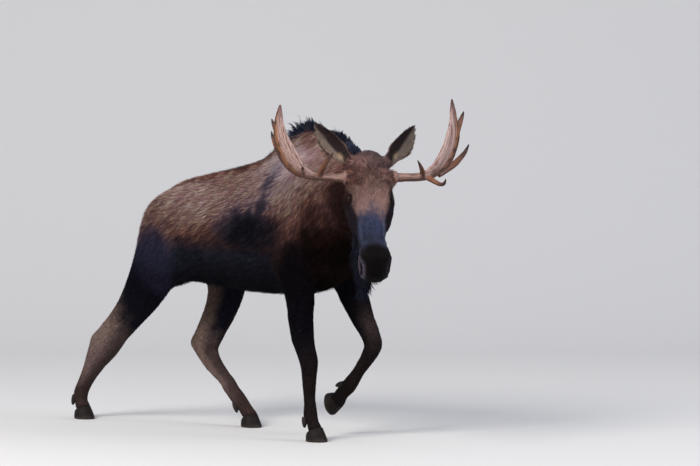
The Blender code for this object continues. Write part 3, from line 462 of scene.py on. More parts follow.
def refine(points, triangles, near, radius):
    """Split every edge whose two ends lie within the radius of a place near at hand."""
    obj = mesh_object("work", points, triangles)
    work = bmesh.new()
    work.from_mesh(obj.data)
    bpy.data.objects.remove(obj, do_unlink=True)
    pairs = np.array([(e.verts[0].index, e.verts[1].index) for e in work.edges])
    work.edges.ensure_lookup_table()
    chosen = np.nonzero((far(points, near) < radius)[pairs].all(axis=1))[0]
    chosen = [work.edges[i] for i in chosen]
    bmesh.ops.subdivide_edges(work, edges=chosen, cuts=1, smooth=0.6, use_grid_fill=True)
    bmesh.ops.triangulate(work, faces=work.faces)
    obj = emptied(work, "work")
    found = points_of(obj), triangles_of(obj)
    bpy.data.objects.remove(obj, do_unlink=True)
    return found


def sculpt_head(points, triangles):
    """Push the skin of the head in and out: brow, orbits, cheeks, nostrils, mouth and lids. Also
    gives 1 for the points inside the nostrils."""
    for side in (LEFT, RIGHT):
        finer = [(EYES[side], 0.050), (EYES[side], 0.034)]
        for (a, s, b), radii in FINER:
            finer += [(head_point(*mm((a, side * s, b))), radius) for radius in mm(radii)]
        for place, radius in finer:
            points, triangles = refine(points, triangles, place, radius)
    edges = edges_of(triangles)
    along, side, above = in_head(points).T
    wide = np.abs(side)
    on_head = ease(along, 0.02, 0.10, wide, 0.20, 0.16, above, -0.36, -0.30)
    round_off = ease(along, 0.50, 0.58) * on_head
    points = spread(points, edges, 26, 0.5 * round_off * ease(along, 0.72, 0.60) + 0.25 * round_off)
    normals = unit(spread(normals_of(points, triangles), edges, 6))

    def lump(a, s, b, ra, rs, rb):
        """Rounded bump of height 1 at a place of the head, on both sides."""
        return bump(along, a, ra, wide, s, rs, above, b, rb)

    def nose(middle, width, length):
        """Line along the top of the nose."""
        return bump(wide, middle, width, along, 0.40, length) * ease(above, -0.08, -0.05)

    sideways = np.where(side < 0, 0.0290, 0.0180) * lump(0.240, 0.118, -0.102, 0.080, 0.045, 0.048)
    sideways += sum(row[0] * lump(*row[1:]) for row in CHEEK_LUMPS)
    sideways += 0.0030 * bump(above + 0.10 * (along - 0.36), -0.108, 0.012, along, 0.36, 0.09)
    sideways -= 0.0130 * ease(along, 0.605, 0.675, wide, 0.025, 0.060) * on_head
    sideways -= 0.0060 * ease(along, 0.500, 0.540, along, 0.600, 0.560, wide, 0.03, 0.06)
    outward = sum(row[0] * lump(*row[1:]) for row in BROW_LUMPS)
    outward += 0.0030 * nose(0.050, 0.013, 0.10) - 0.0020 * nose(0.0, 0.020, 0.12)
    outward -= 0.0025 * bump(wide, 0.0, 0.010) * ease(along, 0.60, 0.66, above, -0.13, -0.11)
    folds = np.sin(along * 2 * math.pi / 0.011 + 18 * wide)
    outward += 0.0008 * folds * lump(0.575, 0.080, -0.080, 0.030, 0.02, 0.035)
    points = points + (HEAD_LEFT * np.sign(side)[:, None]) * sideways[:, None] + normals * outward[:, None]
    points = points + normals * mouth_line(along, above)[:, None]
    points, hollow = nostrils(points, normals, along, side, above)
    return lids(points), triangles, hollow


def mouth_line(along, above):
    """Depth of the groove that runs from under the upper lip back to the corner of the mouth, with
    lips raised beside it."""
    line = np.interp(along, (0.50, 0.56, 0.62, 0.665, 0.70), (-0.168, -0.166, -0.160, -0.150, -0.140))
    gap = above - line
    depth = -0.0075 * bump(gap, 0.0, 0.0042) + 0.0022 * bump(gap, 0.011, 0.006)
    depth += 0.0018 * bump(gap, -0.010, 0.006)
    return depth * ease(along, 0.485, 0.515) * (above > -0.26)


def nostrils(points, normals, along, side, above):
    """Comma-shaped openings on the sides of the muzzle, each with a raised wing round it."""
    flat = np.stack([along, above, 0 * along], axis=1)
    near = along_lines(flat, [(NOSTRIL * (1, 1, 0), NOSTRIL[:, 2])])[0][0]
    here = ease(np.abs(side), 0.030, 0.045, along, 0.50, 0.56)
    depth = -0.024 * ease(near, 1.10, 0.35) + 0.0048 * bump(near, 1.75, 0.55)
    inward = normals * 0.55 + (HEAD_LEFT * np.sign(side)[:, None]) * 0.45
    return points + inward * (depth * here)[:, None], ease(near, 1.35, 0.75) * here


def lids(points):
    """Almond opening over each eyeball, with a rounded lid round it and a fold above."""
    for side in (LEFT, RIGHT):
        look, long, high = eye_axes(side)
        local = points - EYES[side]
        p, q, out = local @ long, local @ high, local @ look
        here = (far(points, EYES[side]) < 0.048) & (out > -0.012)
        bow = np.maximum(1 - (p / (1.15 * LID_LONG)) ** 2, 0.02)
        ring = np.sqrt((p / LID_LONG) ** 2 + (q / (LID_HIGH * bow ** 0.35)) ** 2)
        depth = -0.016 * ease(ring, 1.06, 0.72) + 0.0026 * bump(ring, 1.28, 0.20)
        depth += 0.0016 * bump(ring, 2.05, 0.22) * (q > 0) - 0.0012 * bump(ring, 1.72, 0.16)
        tear = bump(q + 0.25 * (p - LID_LONG), -0.002, 0.0022) * ease(p, LID_LONG, LID_LONG + 0.004)
        depth -= 0.0035 * tear * ease(p, LID_LONG + 0.026, LID_LONG + 0.010)
        points = points + look * (depth * here)[:, None]
    return points


def eyeball(word, surface):
    """Ball with a bulging front: a grid of turn round the line of sight by tilt away from it."""
    look, long, high = eye_axes(SIDES[word])
    tilts, turns = np.linspace(0, math.pi, 49), np.linspace(0, 2 * math.pi, 64, endpoint=False)
    tilt, turn = np.meshgrid(tilts[1:-1], turns, indexing="ij")
    reach = (EYE_RADIUS * (1 + EYE_BULGE * np.exp(-(tilt / 0.55) ** 2)))[..., None]
    aside = np.sin(tilt)
    local = reach * np.stack([aside * np.cos(turn), aside * np.sin(turn), np.cos(tilt)], axis=-1)
    centre = surface - look * (EYE_RADIUS * (1 + EYE_BULGE) + EYE_DEPTH)
    front = centre + look * EYE_RADIUS * (1 + EYE_BULGE)
    rings = centre + local @ np.stack([long, high, look])
    points, faces = tube_mesh(rings, front, centre - look * EYE_RADIUS)
    obj = mesh_object("eye_%s_ball" % word, points, faces)
    p, q = (points - centre) @ long, (points - centre) @ high
    away = np.hypot(p, q)
    iris = mm((20, 6.5, 3)) * (1 + 0.35 * np.sin(23 * np.arctan2(q, p)))[:, None]
    pupil = np.hypot(p / 0.0066, q / 0.0036)
    paint(obj, layered(
        iris,
        ((4, 2, 2), ease(away, 0.0095, 0.0115)),
        ((1.5, 1.5, 2.5), ease(pupil, 1.15, 0.9)),
        ((12, 6, 5), ease(away, 0.0150, 0.0172))))
    return obj


def tube_mesh(rings, first, last):
    """Points and triangles of a closed tube over an array of rings, with a pole at each end."""
    count, sides, _ = rings.shape
    here = np.arange(count * sides).reshape(count, sides)
    after = np.roll(here, -1, axis=1)
    a, b, c, d = here[:-1].ravel(), after[:-1].ravel(), after[1:].ravel(), here[1:].ravel()
    first_pole = np.full(sides, count * sides)
    faces = np.concatenate([np.stack(corners, axis=1) for corners in (
        (a, b, c), (a, c, d), (after[0], here[0], first_pole), (here[-1], after[-1], first_pole + 1))])
    points = np.concatenate([rings.reshape(-1, 3), [first], [last]])
    middle = points[faces].mean(axis=1)
    facing = np.cross(points[faces[:, 1]] - points[faces[:, 0]], points[faces[:, 2]] - points[faces[:, 0]])
    nearest = rings.mean(axis=1)[np.minimum(faces.min(axis=1) // sides, count - 1)]
    if ((middle - nearest) * facing).sum() < 0:
        faces = faces[:, ::-1]
    return points, faces


def resample(rows, steps):
    """Catmull-Rom curve through the rows, with the same number of steps in each span."""
    rows = np.asarray(rows, dtype=float)
    ends = np.vstack([2 * rows[0] - rows[1], rows, 2 * rows[-1] - rows[-2]])
    t = np.linspace(0, 1, steps, endpoint=False)[None, :, None]
    a, b, c, d = (ends[i:len(ends) - 3 + i, None] for i in range(4))
    spans = 0.5 * (2 * b + (c - a) * t + (2 * a - 5 * b + 4 * c - d) * t ** 2
                   + (3 * b - a - 3 * c + d) * t ** 3)
    return np.vstack([spans.reshape(-1, rows.shape[1]), rows[-1:]])


def limb(rows, sides=24, steps=8, lateral=(0, 1, 0)):
    """Closed tube along a path: rows of x, y, z, half size one way and half size sideways."""
    rows = resample(rows, steps)
    ways = unit(np.gradient(rows[:, :3], axis=0))
    side = unit(lateral - ways * (ways @ lateral)[:, None])
    front = np.cross(side, ways)
    turn = np.linspace(0, 2 * math.pi, sides, endpoint=False)
    rings = rows[:, None, :3] + (rows[:, 4, None] * np.sin(turn))[:, :, None] * side[:, None]
    rings = rings + (rows[:, 3, None] * np.cos(turn))[:, :, None] * front[:, None]
    return tube_mesh(rings, rows[0, :3], rows[-1, :3])


def joined(forms):
    """One array of points and one of triangles from several."""
    starts = np.cumsum([0] + [len(points) for points, _ in forms])
    return (np.concatenate([points for points, _ in forms]),
            np.concatenate([faces + start for (_, faces), start in zip(forms, starts)]))


# ---- antlers ----
# Rows are sideways, rise and ahead of the middle between the burrs, then half thickness and
# half width, in millimetres. Palms are blades whose width runs outwards and backwards.
ANTLERS = {
    "right": table("""
        beam: 126 -10 0 30 30, 134 -10 -1 36 36, 144 -10 -3 28 28, 165 -11 -8 23 23, 200 -8 -16 21 22,
            255 -6 -28 21 25, 310 2 -38 20 30, 360 24 -50 18 40;
        palm: 325 4 -40 18 30, 375 34 -54 16 48, 415 84 -68 15 62, 446 140 -80 14 60, 468 205 -90 13 48,
            476 270 -98 12 34, 474 325 -104 11 22, 468 378 -108 6 7;
        brow_tine: 268 -2 -26 18 20, 258 36 10 16 16, 238 78 45 13 13, 216 112 75 9 9, 206 128 92 4 4;
        spur: 352 10 -40 13 13, 358 34 -20 10 10, 362 52 -8 4 4;
        upper_point: 468 190 -118 11 20, 486 232 -148 11 14, 501 276 -166 9 10, 508 304 -174 4 4;
        lower_point: 460 120 -122 12 22, 487 158 -162 11 15, 502 204 -188 9 10, 507 236 -198 4 4"""),
    "left": table("""
        beam: 126 -10 0 30 30, 134 -10 -1 36 36, 144 -10 -3 28 28, 165 -11 -8 24 24, 200 -10 -16 23 24,
            255 -10 -28 22 27, 310 0 -38 21 34, 360 24 -50 18 44;
        palm: 318 4 -40 19 34, 378 44 -55 17 54, 420 100 -70 15 60, 447 160 -82 14 58,
            462 220 -92 13 54, 464 280 -100 12 36, 461 345 -106 11 22, 456 407 -110 5 6;
        brow_tine: 290 -4 -30 18 18, 280 26 6 14 14, 264 56 40 10 10, 246 85 68 4 4;
        fore_tine: 308 -4 -30 20 20, 335 -26 20 15 15, 366 -44 60 12 12, 386 -40 86 10 10,
            394 -12 100 4 4;
        outer_point: 478 215 -110 12 26, 506 282 -136 11 18, 520 314 -150 9 11, 530 340 -160 4 4;
        rear_tine: 378 6 -72 17 26, 470 53 -134 15.5 21, 506 83 -156 14 17, 538 117 -174 11 13,
            563 161 -186 4 5"""),
}
ANTLER_VOXEL = 0.0032
# Pale bone of the antlers' faces, laid where faces turn forward and up: real pale bone with painted light.
LIT_PALE_BONE = {"right": mm((450, 318, 292)) * 0.86, "left": mm((450, 318, 292)) * 1.05}


def antler_point(side, rise, ahead):
    """Point by an antler: from the middle between the burrs, sideways, up and along the heading."""
    return head_point(0.127, 0.0, -0.030) + HEAD_LEFT * side + UP * rise + HEADING * ahead


def antler(word):
    """One antler fused from tubes along its beam, palm and points, with a beaded burr, grooves
    along the length, pale faces whose paleness is laid as painted light on the sides turned forward
    and up, painted shade on the undersides, and dark points."""
    side = SIDES[word]
    across = unit(HEAD_LEFT * (side * 0.74) - HEADING * 0.62 - UP * 0.25)
    paths = {name: np.array([(*antler_point(side * s, rise, ahead), *halves)
                             for s, rise, ahead, *halves in rows])
             for name, rows in ANTLERS[word].items()}
    stem = np.append(paths["beam"][0, :3] - HEAD_LEFT * side * 0.02, (0.018, 0.018))
    paths["beam"] = np.vstack([stem, paths["beam"]])
    rough = mesh_object("work", *joined([limb(rows, lateral=across) for rows in paths.values()]))
    remesh(rough, ANTLER_VOXEL)
    points, faces = points_of(rough), triangles_of(rough)
    bpy.data.objects.remove(rough, do_unlink=True)
    points = spread(points, edges_of(faces), 5)
    normals = normals_of(points, faces)
    near, share, way, out = along_lines(
        points, [(rows[:, :3], np.maximum(rows[:, 4], 0.010)) for rows in paths.values()])
    pick = near.argmin(axis=0)
    way, out, share = (values[pick, np.arange(len(points))] for values in (way, out, share))
    first = unit(across - way * (way @ across)[:, None])
    second = np.cross(way, first)
    length = (points * way).sum(axis=1)
    comb = np.stack([(out * first).sum(axis=1), (out * second).sum(axis=1), 0.16 * length], axis=1)
    reach = (points - antler_point(0, -0.010, 0)) @ HEAD_LEFT * side
    groove = waves(comb, 0.012, 31) + 0.5 * waves(comb, 0.006, 32)
    angle = np.arctan2(comb[:, 1], comb[:, 0])
    burr = bump(reach, 0.134, 0.0075)
    beads = np.abs(np.sin(11 * angle + 2 * np.sin(3 * angle))) * (0.6 + 0.4 * waves(points, 0.02, 33))
    height = -0.0011 * np.abs(groove) * (1 - burr) + burr * (0.0010 + 0.0035 * beads)
    pearls = bump(reach, 0.165, 0.025) * np.maximum(waves(points, 0.011, 34), 0)
    points = points + normals * (height + 0.0018 * pearls)[:, None]
    obj = mesh_object("antler_" + word, points, faces)

    names = list(paths)
    palm = names.index("palm")
    pointed = ~np.isin(pick, (names.index("beam"), palm))
    # Faces turned forward and up get the pale bone: painted light on the bone's paler streaks.
    facing = normals @ unit(HEADING * 0.9 + UP * 0.25 - HEAD_LEFT * side * 0.35)
    lean = comb[:, 0] / np.maximum(np.linalg.norm(out, axis=1), 1e-6) * near.min(axis=0)
    streak = waves(comb * (3.0, 3.0, 0.45), 0.020, 35)
    rear = ease(lean, 0.05, 0.40)
    black = np.maximum(ease(lean, 0.45, 0.75), ease(waves(points, 0.06, 36), 0.1, 0.9))
    # Undersides darkened: painted shade.
    under = ease(normals[:, 2], 0.05, -0.60)
    blade = 0.35 + 0.65 * (near[palm] < 1.2)
    colour = layered(
        (235, 132, 102),
        (LIT_PALE_BONE[word], blade * ease(facing, 0.05, 0.60, streak, -1.0, 0.3)),
        ((115, 50, 38), 0.80 * ease(streak, 0.1, -0.9)),
        ((230, 85, 22), 0.90 * rear),
        ((26, 12, 9), 0.92 * rear * black),
        ((62, 23, 14), 0.88 * under),
        (mm((170, 60, 26)) * (1 - 0.6 * under[:, None]), 0.90 * pointed * ease(share, 0.0, 0.30)),
        ((22, 10, 10), 0.94 * pointed * ease(share, 0.50, 0.85)),
        ((100, 42, 36), 0.80 * (pick == palm) * ease(share, 0.74, 0.97)),
        ((230, 125, 105), burr * 0.6 + 0.35 * ease(groove, 0.3, 1.0)),
        ((60, 22, 20), 0.75 * ease((points - CROWN)[:, 2], 0.215, 0.262)))
    paint(obj, colour * (1 + 0.10 * groove)[:, None])
    store_vector(obj, "comb", comb)
    return obj


# ---- hooves ----
# Coronet middle from under the planted hoof, and the pitch of the foot in degrees.
FEET = {
    "right_fore": ((34, -140, 60), 0.0),
    "left_fore": ((-54, 137, 196), 78.0),
    "right_hind": ((-1750, -168, 60), 0.0),
    "left_hind": ((-730, 150, 60), 0.0),
}
CORONET_SLOPE = 0.42     # rise of the coronet towards the toe
CORONET_HEIGHT = 0.060   # above the sole, under the middle of the pastern
CLAW_GAP = 0.006
# Sections of a claw: share of its height, toe ahead, heel ahead, half width of the whole hoof.
CLAW = [(0, 70, -46, 50), (70, 74, -50, 54), (400, 60, -50, 53), (750, 46, -49, 50), (1000, 38, -47, 46),
        (1150, 28, -40, 38)]
# A dewclaw: share of its length, and radius.
DEWCLAW = mm([(-150, 15), (0, 15.5), (300, 16), (600, 13.5), (850, 9), (1000, 4)])


def foot_frame(name):
    """Origin on the sole under the coronet, with forward, left and up directions of the foot."""
    coronet, pitch = FEET[name]
    tilt = math.radians(pitch)
    ahead = np.array((math.cos(tilt), 0.0, -math.sin(tilt)))
    up = np.array((math.sin(tilt), 0.0, math.cos(tilt)))
    return STRIDE + mm(coronet) - up * CORONET_HEIGHT, ahead, np.array((0.0, 1.0, 0.0)), up


def claw(name, inner_side):
    """One claw of a hoof: D-shaped sections, a grid of turn round the claw by height from the sole
    to the slanting coronet, with faint growth rings and a rounded rim."""
    origin, ahead, left, up = foot_frame(name)
    share = np.concatenate([[0.0, 0.02, 0.05], np.linspace(0.09, 1.0, 26), [1.12]])[:, None]
    levels, *rows = mm(CLAW).T
    toe, heel, half = (np.interp(share, levels, row) for row in rows)
    ring = 0.0005 * np.sin(share * 40) * ease(share, 0.10, 0.2, share, 1.0, 0.9)
    curve = np.linspace(-math.pi / 2, math.pi / 2, 27)[None, :]
    along = (toe + heel) / 2 + ((toe - heel) / 2 + ring) * np.sin(curve)
    taper = 1 - 0.30 * np.maximum(np.sin(curve), 0) ** 2
    out = CLAW_GAP / 2 + (half + ring - CLAW_GAP / 2) * np.cos(curve) ** 0.75 * taper
    inner = toe + (heel - toe) * np.linspace(0, 1, 9)[None, 1:-1]
    along = np.concatenate([along, inner], axis=1)
    out = np.concatenate([out, np.full(inner.shape, CLAW_GAP / 2)], axis=1)
    height = share * (CORONET_HEIGHT + CORONET_SLOPE * along)
    rings = origin + np.stack([along, inner_side * out, height], axis=-1) @ np.stack([ahead, left, up])
    return tube_mesh(rings, rings[0].mean(axis=0), rings[-1].mean(axis=0))


def hoof(name):
    """Both claws of one foot, painted from a worn grey rim to dark horn at the coronet."""
    points, faces = joined([claw(name, LEFT), claw(name, RIGHT)])
    obj = mesh_object("hoof_" + name, points, faces)
    origin, ahead, _, up = foot_frame(name)
    height = (points - origin) @ up / (CORONET_HEIGHT + CORONET_SLOPE * ((points - origin) @ ahead))
    colour = layered((14, 11, 10), ((34, 27, 23), ease(height, 0.30, 0.05)),
                     ((12, 9, 8), ease(height, 0.75, 0.95)))
    paint(obj, colour * (1 + 0.18 * waves(points, 0.02, 41))[:, None])
    return obj


def dewclaws(name):
    """The two small horny cones behind a fetlock, from the boxes of the frame's own nodes."""
    forms = []
    for word in ("outer", "inner"):
        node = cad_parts["dewclaw_%s_%s" % (name, word)]
        flat = np.array([v.co[:] for v in node.data.vertices])
        middle = flat.mean(axis=0)
        spin = np.linalg.svd(flat - middle)[2][0]
        spin = spin * np.sign(-spin @ foot_frame(name)[3])
        low, high = ((flat - middle) @ spin).min(), ((flat - middle) @ spin).max()
        forms.append(limb([(*(middle + spin * (low + part * (high - low))), half, 0.9 * half)
                           for part, half in DEWCLAW], sides=20, steps=5))
    points, faces = joined(forms)
    obj = mesh_object("dewclaws_" + name, points, faces)
    paint(obj, mm((26, 20, 18)) * (1 + 0.2 * waves(points, 0.015, 42))[:, None])
    return obj


# ---- materials ----
def wire(tree, node, **inputs):
    """Set a node's inputs by name, with _ for a space; an output socket is linked in."""
    for name, value in inputs.items():
        socket = node.inputs[name.replace("_", " ")]
        if isinstance(value, bpy.types.NodeSocket):
            tree.links.new(value, socket)
        else:
            socket.default_value = value


def add_node(tree, kind, settings=(), **inputs):
    """New node with its settings and inputs."""
    node = tree.nodes.new("ShaderNode" + kind)
    for key, value in dict(settings).items():
        setattr(node, key, value)
    wire(tree, node, **inputs)
    return node


def stored(tree, name):
    """Node that reads what the piece holds for every point under the name."""
    return add_node(tree, "Attribute", {"attribute_name": name})


def new_material(name, **inputs):
    """Material whose colour comes with the piece, with its node tree and shader."""
    material = bpy.data.materials.new(name)
    material.use_nodes = True
    tree = material.node_tree
    shader = tree.nodes["Principled BSDF"]
    wire(tree, shader, Base_Color=stored(tree, "hair").outputs["Color"], **inputs)
    return material, tree, shader


def relief(tree, shader, height, strength, distance, **rough):
    """Bumps from a height, and where wanted a roughness that goes with it."""
    bump = add_node(tree, "Bump", Strength=strength, Distance=distance, Height=height)
    wire(tree, shader, Normal=bump.outputs["Normal"])
    if rough:
        wire(tree, shader, Roughness=add_node(tree, "MapRange", Value=height, **rough).outputs["Result"])


def antler_material():
    """Bone with fine streaks along the beam, and a dull polish on the high places."""
    material, tree, shader = new_material("antler bone", Specular_IOR_Level=0.25)
    streaks = add_node(tree, "TexNoise", Scale=260, Detail=6, Roughness=0.65,
                       Vector=stored(tree, "comb").outputs["Vector"]).outputs["Fac"]
    ramp = add_node(tree, "ValToRGB", Fac=streaks)
    ends = ((0.32, (0.48, 0.40, 0.36, 1)), (0.62, (1.12, 1.12, 1.12, 1)))
    for element, (place, colour) in zip(ramp.color_ramp.elements, ends):
        element.position = place
        element.color = colour
    own = shader.inputs["Base Color"].links[0].from_socket
    mix = add_node(tree, "Mix", {"data_type": "RGBA", "blend_type": "MULTIPLY"}, Factor=0.75, A=own,
                   B=ramp.outputs["Color"])
    wire(tree, shader, Base_Color=mix.outputs["Result"])
    relief(tree, shader, streaks, 0.5, 0.0012, To_Min=0.72, To_Max=0.42)
    return material


def horn_material():
    """Horn of the hooves: satin, with fine scratches."""
    material, tree, shader = new_material("hoof horn", Specular_IOR_Level=0.07)
    place = add_node(tree, "TexCoord").outputs["Object"]
    grain = add_node(tree, "TexNoise", Scale=420, Detail=5, Vector=place).outputs["Fac"]
    relief(tree, shader, grain, 0.35, 0.0008, To_Min=0.38, To_Max=0.68)
    return material


def fur_material(name, grain=0.0):
    """Dull hair; the skin's own has a grain of short hair, and pebbles where it is bare."""
    material, tree, shader = new_material(name, Roughness=0.65, Specular_IOR_Level=0.03)
    if grain:
        bare = stored(tree, "bare").outputs["Fac"]
        for key, start, end in (("Roughness", 0.65, 0.55), ("Specular_IOR_Level", 0.03, 0.035)):
            ramp = add_node(tree, "MapRange", To_Min=start, To_Max=end, Value=bare)
            wire(tree, shader, **{key: ramp.outputs["Result"]})
        place = add_node(tree, "TexCoord").outputs["Object"]
        pebbles = add_node(tree, "TexVoronoi", Scale=300, Vector=place).outputs["Distance"]
        hairs = add_node(tree, "TexNoise", Scale=330, Detail=5, Vector=place).outputs["Fac"]
        blend = add_node(tree, "Mix", Factor=bare, A=hairs, B=pebbles)
        relief(tree, shader, blend.outputs["Result"], 0.5, grain)
    return material


# ---- lie of the hair ----
def lie_of(body):
    """Direction in which the hair lies: from the nose to the poll, then back and down the body."""
    x = body.place[:, 0]
    back = np.stack([-1.0 + 0.45 * ease(x, -0.45, 0.0), 0 * x, -0.85 - 0.3 * ease(x, -0.5, -0.1)], axis=1)
    back = np.where(body.normals[:, 2:3] < -0.35, np.array((-1.0, 0, -0.1)), back)
    flow = body.of("trunk")[:, None] * unit(back)
    flow += body.of("neck")[:, None] * unit(-0.75 * body.way[NAMES.index("neck")] - 0.65 * UP)
    side = np.tanh(body.head[:, 1] / 0.02)[:, None]
    off = body.points - antler_point(0, -0.010, 0)
    sideways = off @ HEAD_LEFT
    pedicle = ease(np.abs(sideways), 0.072, 0.105, far(off, sideways[:, None] * HEAD_LEFT), 0.075, 0.045)
    pedicle = pedicle[:, None]
    brow = unit(0.30 * side * HEAD_LEFT - FACE) * (1 - pedicle) + side * pedicle * HEAD_LEFT
    facing = (body.normals @ FACE)[:, None]
    over = ease(-facing, 0.25, 0.70) * (1 - pedicle)
    turned = facing * BROW - np.abs(body.normals @ BROW)[:, None] * FACE
    brow = brow * (1 - over) + unit(turned + 1e-6) * over
    for eye in EYES.values():
        gap = far(body.points, eye)[:, None]
        away = unit((body.points - eye) / np.maximum(gap, 1e-6) - 0.35 * FACE)
        brow = brow + 2.5 * ease(gap, 0.060, 0.030) * away
    flow += body.of("head")[:, None] * brow
    for k in numbers_of(LEGS + ("bell", "tail", "ear")):
        flow += body.weight[k][:, None] * body.way[k]
    crest = crest_of(body)[:, None]
    flow = flow * (1 - crest) + crest * np.array((-1.0, 0, -0.15))
    flow -= (flow * body.normals).sum(axis=1, keepdims=True) * body.normals
    return unit(flow)


def hair_length(body):
    """Length of a tuft."""
    x, _, z = body.place.T
    along, _, above = body.head.T
    length = body.blend((0.034, 0.024, 0.016, 0.013), trunk=0.046, neck=0.050, bell=0.095,
                        tail=0.050, ear=0.014)
    face = np.interp(along, (0.0, 0.08, 0.30, 0.50, 0.62), (0.017, 0.014, 0.012, 0.010, 0.006))
    length += body.of("head") * (face + 0.010 * ease(above, -0.15, -0.22, along, 0.45, 0.30))
    for eye in EYES.values():
        length *= 0.35 + 0.65 * ease(far(body.points, eye), 0.022, 0.060)
    return length + 0.022 * bump(x, -0.15, 0.25) * ease(z, 1.40, 1.60) * body.of("trunk", "neck")


def hair_width(body):
    """Half width of a tuft at its root."""
    return body.blend((0.0028, 0.0024, 0.0019, 0.0016), trunk=0.0019, neck=0.0019, bell=0.0026, tail=0.0025,
                      ear=0.0013, head=0.0012)


# ---- markings ----
LIGHTEN = 1.3
# Black mane with a painted blue sheen of sky light.
MANE_BLACK_AND_SHEEN = mm((13.5, 16, 27))
# Lighter and darker places of the trunk: gain, place and width fore and aft, height and width.
TRUNK_SPOTS = [(0.35, -0.85, 0.20, 1.20, 0.10), (1.5, -0.12, 0.20, 1.58, 0.12),
               (-0.55, 0.04, 0.08, 1.27, 0.13), (0.45, -0.12, 0.06, 1.07, 0.08),
               (-0.50, -0.17, 0.11, 1.20, 0.09)]
# Tints of light and dark hair on the trunk, as factors of its brightness; the last is a painted blue sheen
# of sky light on the dark hair.
DEEP, WARM, PALE, SKY_SHEEN = mm([(1700, 780, 640), (1520, 820, 710), (1380, 880, 820), (800, 850, 1350)])
NECK_DEEP, NECK_COLD = mm([(1720, 770, 660), (0, -100, 0)])


def waves(points, size, seed):
    """Soft irregular ripple between about -1 and 1: a sum of sines in random directions."""
    draw = np.random.default_rng(seed)
    total = np.zeros(len(points))
    for _ in range(7):
        way = unit(draw.normal(size=3))
        pace = 2 * math.pi / (size * draw.uniform(0.7, 1.6))
        total += np.sin(points @ way * pace + draw.uniform(0, 6.3))
    return total / 3.2


def layered(base, *layers):
    """Base colour with others laid over it in turn, each by its share at every point. Tuples are
    colours in thousandths."""
    colour = mm(base) if isinstance(base, tuple) else base
    for other, share in layers:
        colour = colour + ((mm(other) if isinstance(other, tuple) else other) - colour) * share[:, None]
    return colour


def trunk_colour(body):
    """Brown back with light tips, darkening evenly to a black belly; a dark patch behind the
    shoulder with a streak up to the withers; a light hump. The lower body and the dark patch get a
    painted blue sheen, lightened on the lower rump. Also gives the gain of the tips."""
    x, y, z = body.place.T
    ripple, fine = waves(body.place, 0.17, 1), waves(body.place, 0.06, 2)
    height = z - 0.09 * ease(x, -0.10, 0.06) + 0.018 * ripple + 0.010 * fine
    level = np.interp(height, (0.80, 0.86, 0.93, 1.00, 1.07, 1.14, 1.20, 1.26, 1.34, 1.44),
                      (0.0045, 0.0065, 0.011, 0.019, 0.036, 0.066, 0.102, 0.138, 0.172, 0.185))
    for gain, place, width, high, tall in TRUNK_SPOTS:
        level = level * (1 + gain * bump(x, place, width, z, high, tall))
    level = level * (1 - 0.35 * bump(x, -0.63, 0.16) * ease(z, 1.30, 1.42))
    # Painted sheen: the lower rump lightened where the blue sheen lies.
    level = level * (1 + 2.0 * ease(x, -0.85, -1.10) * bump(z, 1.03, 0.09))
    level = level * (1 - 0.66 * ease(np.abs(y) + 0.02 * fine, 0.075, 0.025, z, 1.3, 1.4))
    level = level * (1 - 0.72 * ease(x + 0.02 * ripple, -0.05, 0.03, z + 0.02 * fine, 1.25, 1.12,
                     z, 0.93, 1.03))
    off = ((x + 0.38 + 0.03 * ripple) / 0.20) ** 2 + ((z - 1.155 - 0.02 * fine) / 0.130) ** 2
    patch = np.exp(-off ** 1.6)
    streak = bump(x, -0.27 - 0.10 * (1.40 - z) + 0.02 * fine, 0.046) * ease(z, 1.16, 1.26, z, 1.56, 1.42)
    dark = np.maximum(0.95 * patch * ease(np.abs(y), 0.1, 0.2), 0.78 * streak)
    level = level * (1 - dark) + 0.0065 * dark
    # Share of the painted blue sheen: the lower body and the dark patch.
    blue = np.clip(np.maximum(ease(height, 1.12, 0.98, x, -0.10, -0.30), dark), 0, 1)
    hue = layered(DEEP, (WARM, ease(level, 0.04, 0.12)), (PALE, ease(level, 0.13, 0.25)), (SKY_SHEEN, blue))
    return hue * level[:, None], np.clip(1.8 * ease(level, 0.015, 0.10), 0, 2)


def neck_colour(body):
    """Brown upper neck, near black towards the throat and beside the head."""
    x, _, z = body.place.T
    height = z - 0.30 * (x - 0.05) + 0.025 * waves(body.place, 0.15, 3)
    level = np.interp(height, (0.95, 1.05, 1.15, 1.22, 1.30, 1.40, 1.50, 1.60),
                      (0.0020, 0.0030, 0.0055, 0.022, 0.078, 0.125, 0.165, 0.178))
    level = level * (1 - 0.55 * bump(x, 0.04, 0.08, z, 1.27, 0.13))
    level = level * (1 - 0.45 * bump(x + 0.3 * (z - 1.3), 0.17, 0.035, z, 1.30, 0.12))
    beside = far(body.head, np.array((0.16, 0.0, -0.20)))
    level = level * (1 - 0.75 * ease(beside, 0.26, 0.16, body.head[:, 0], -0.02, 0.08))
    hue = NECK_DEEP + NECK_COLD * ease(level, 0.02, 0.006)[:, None]
    return hue * level[:, None], 1.6 * ease(level, 0.015, 0.09)


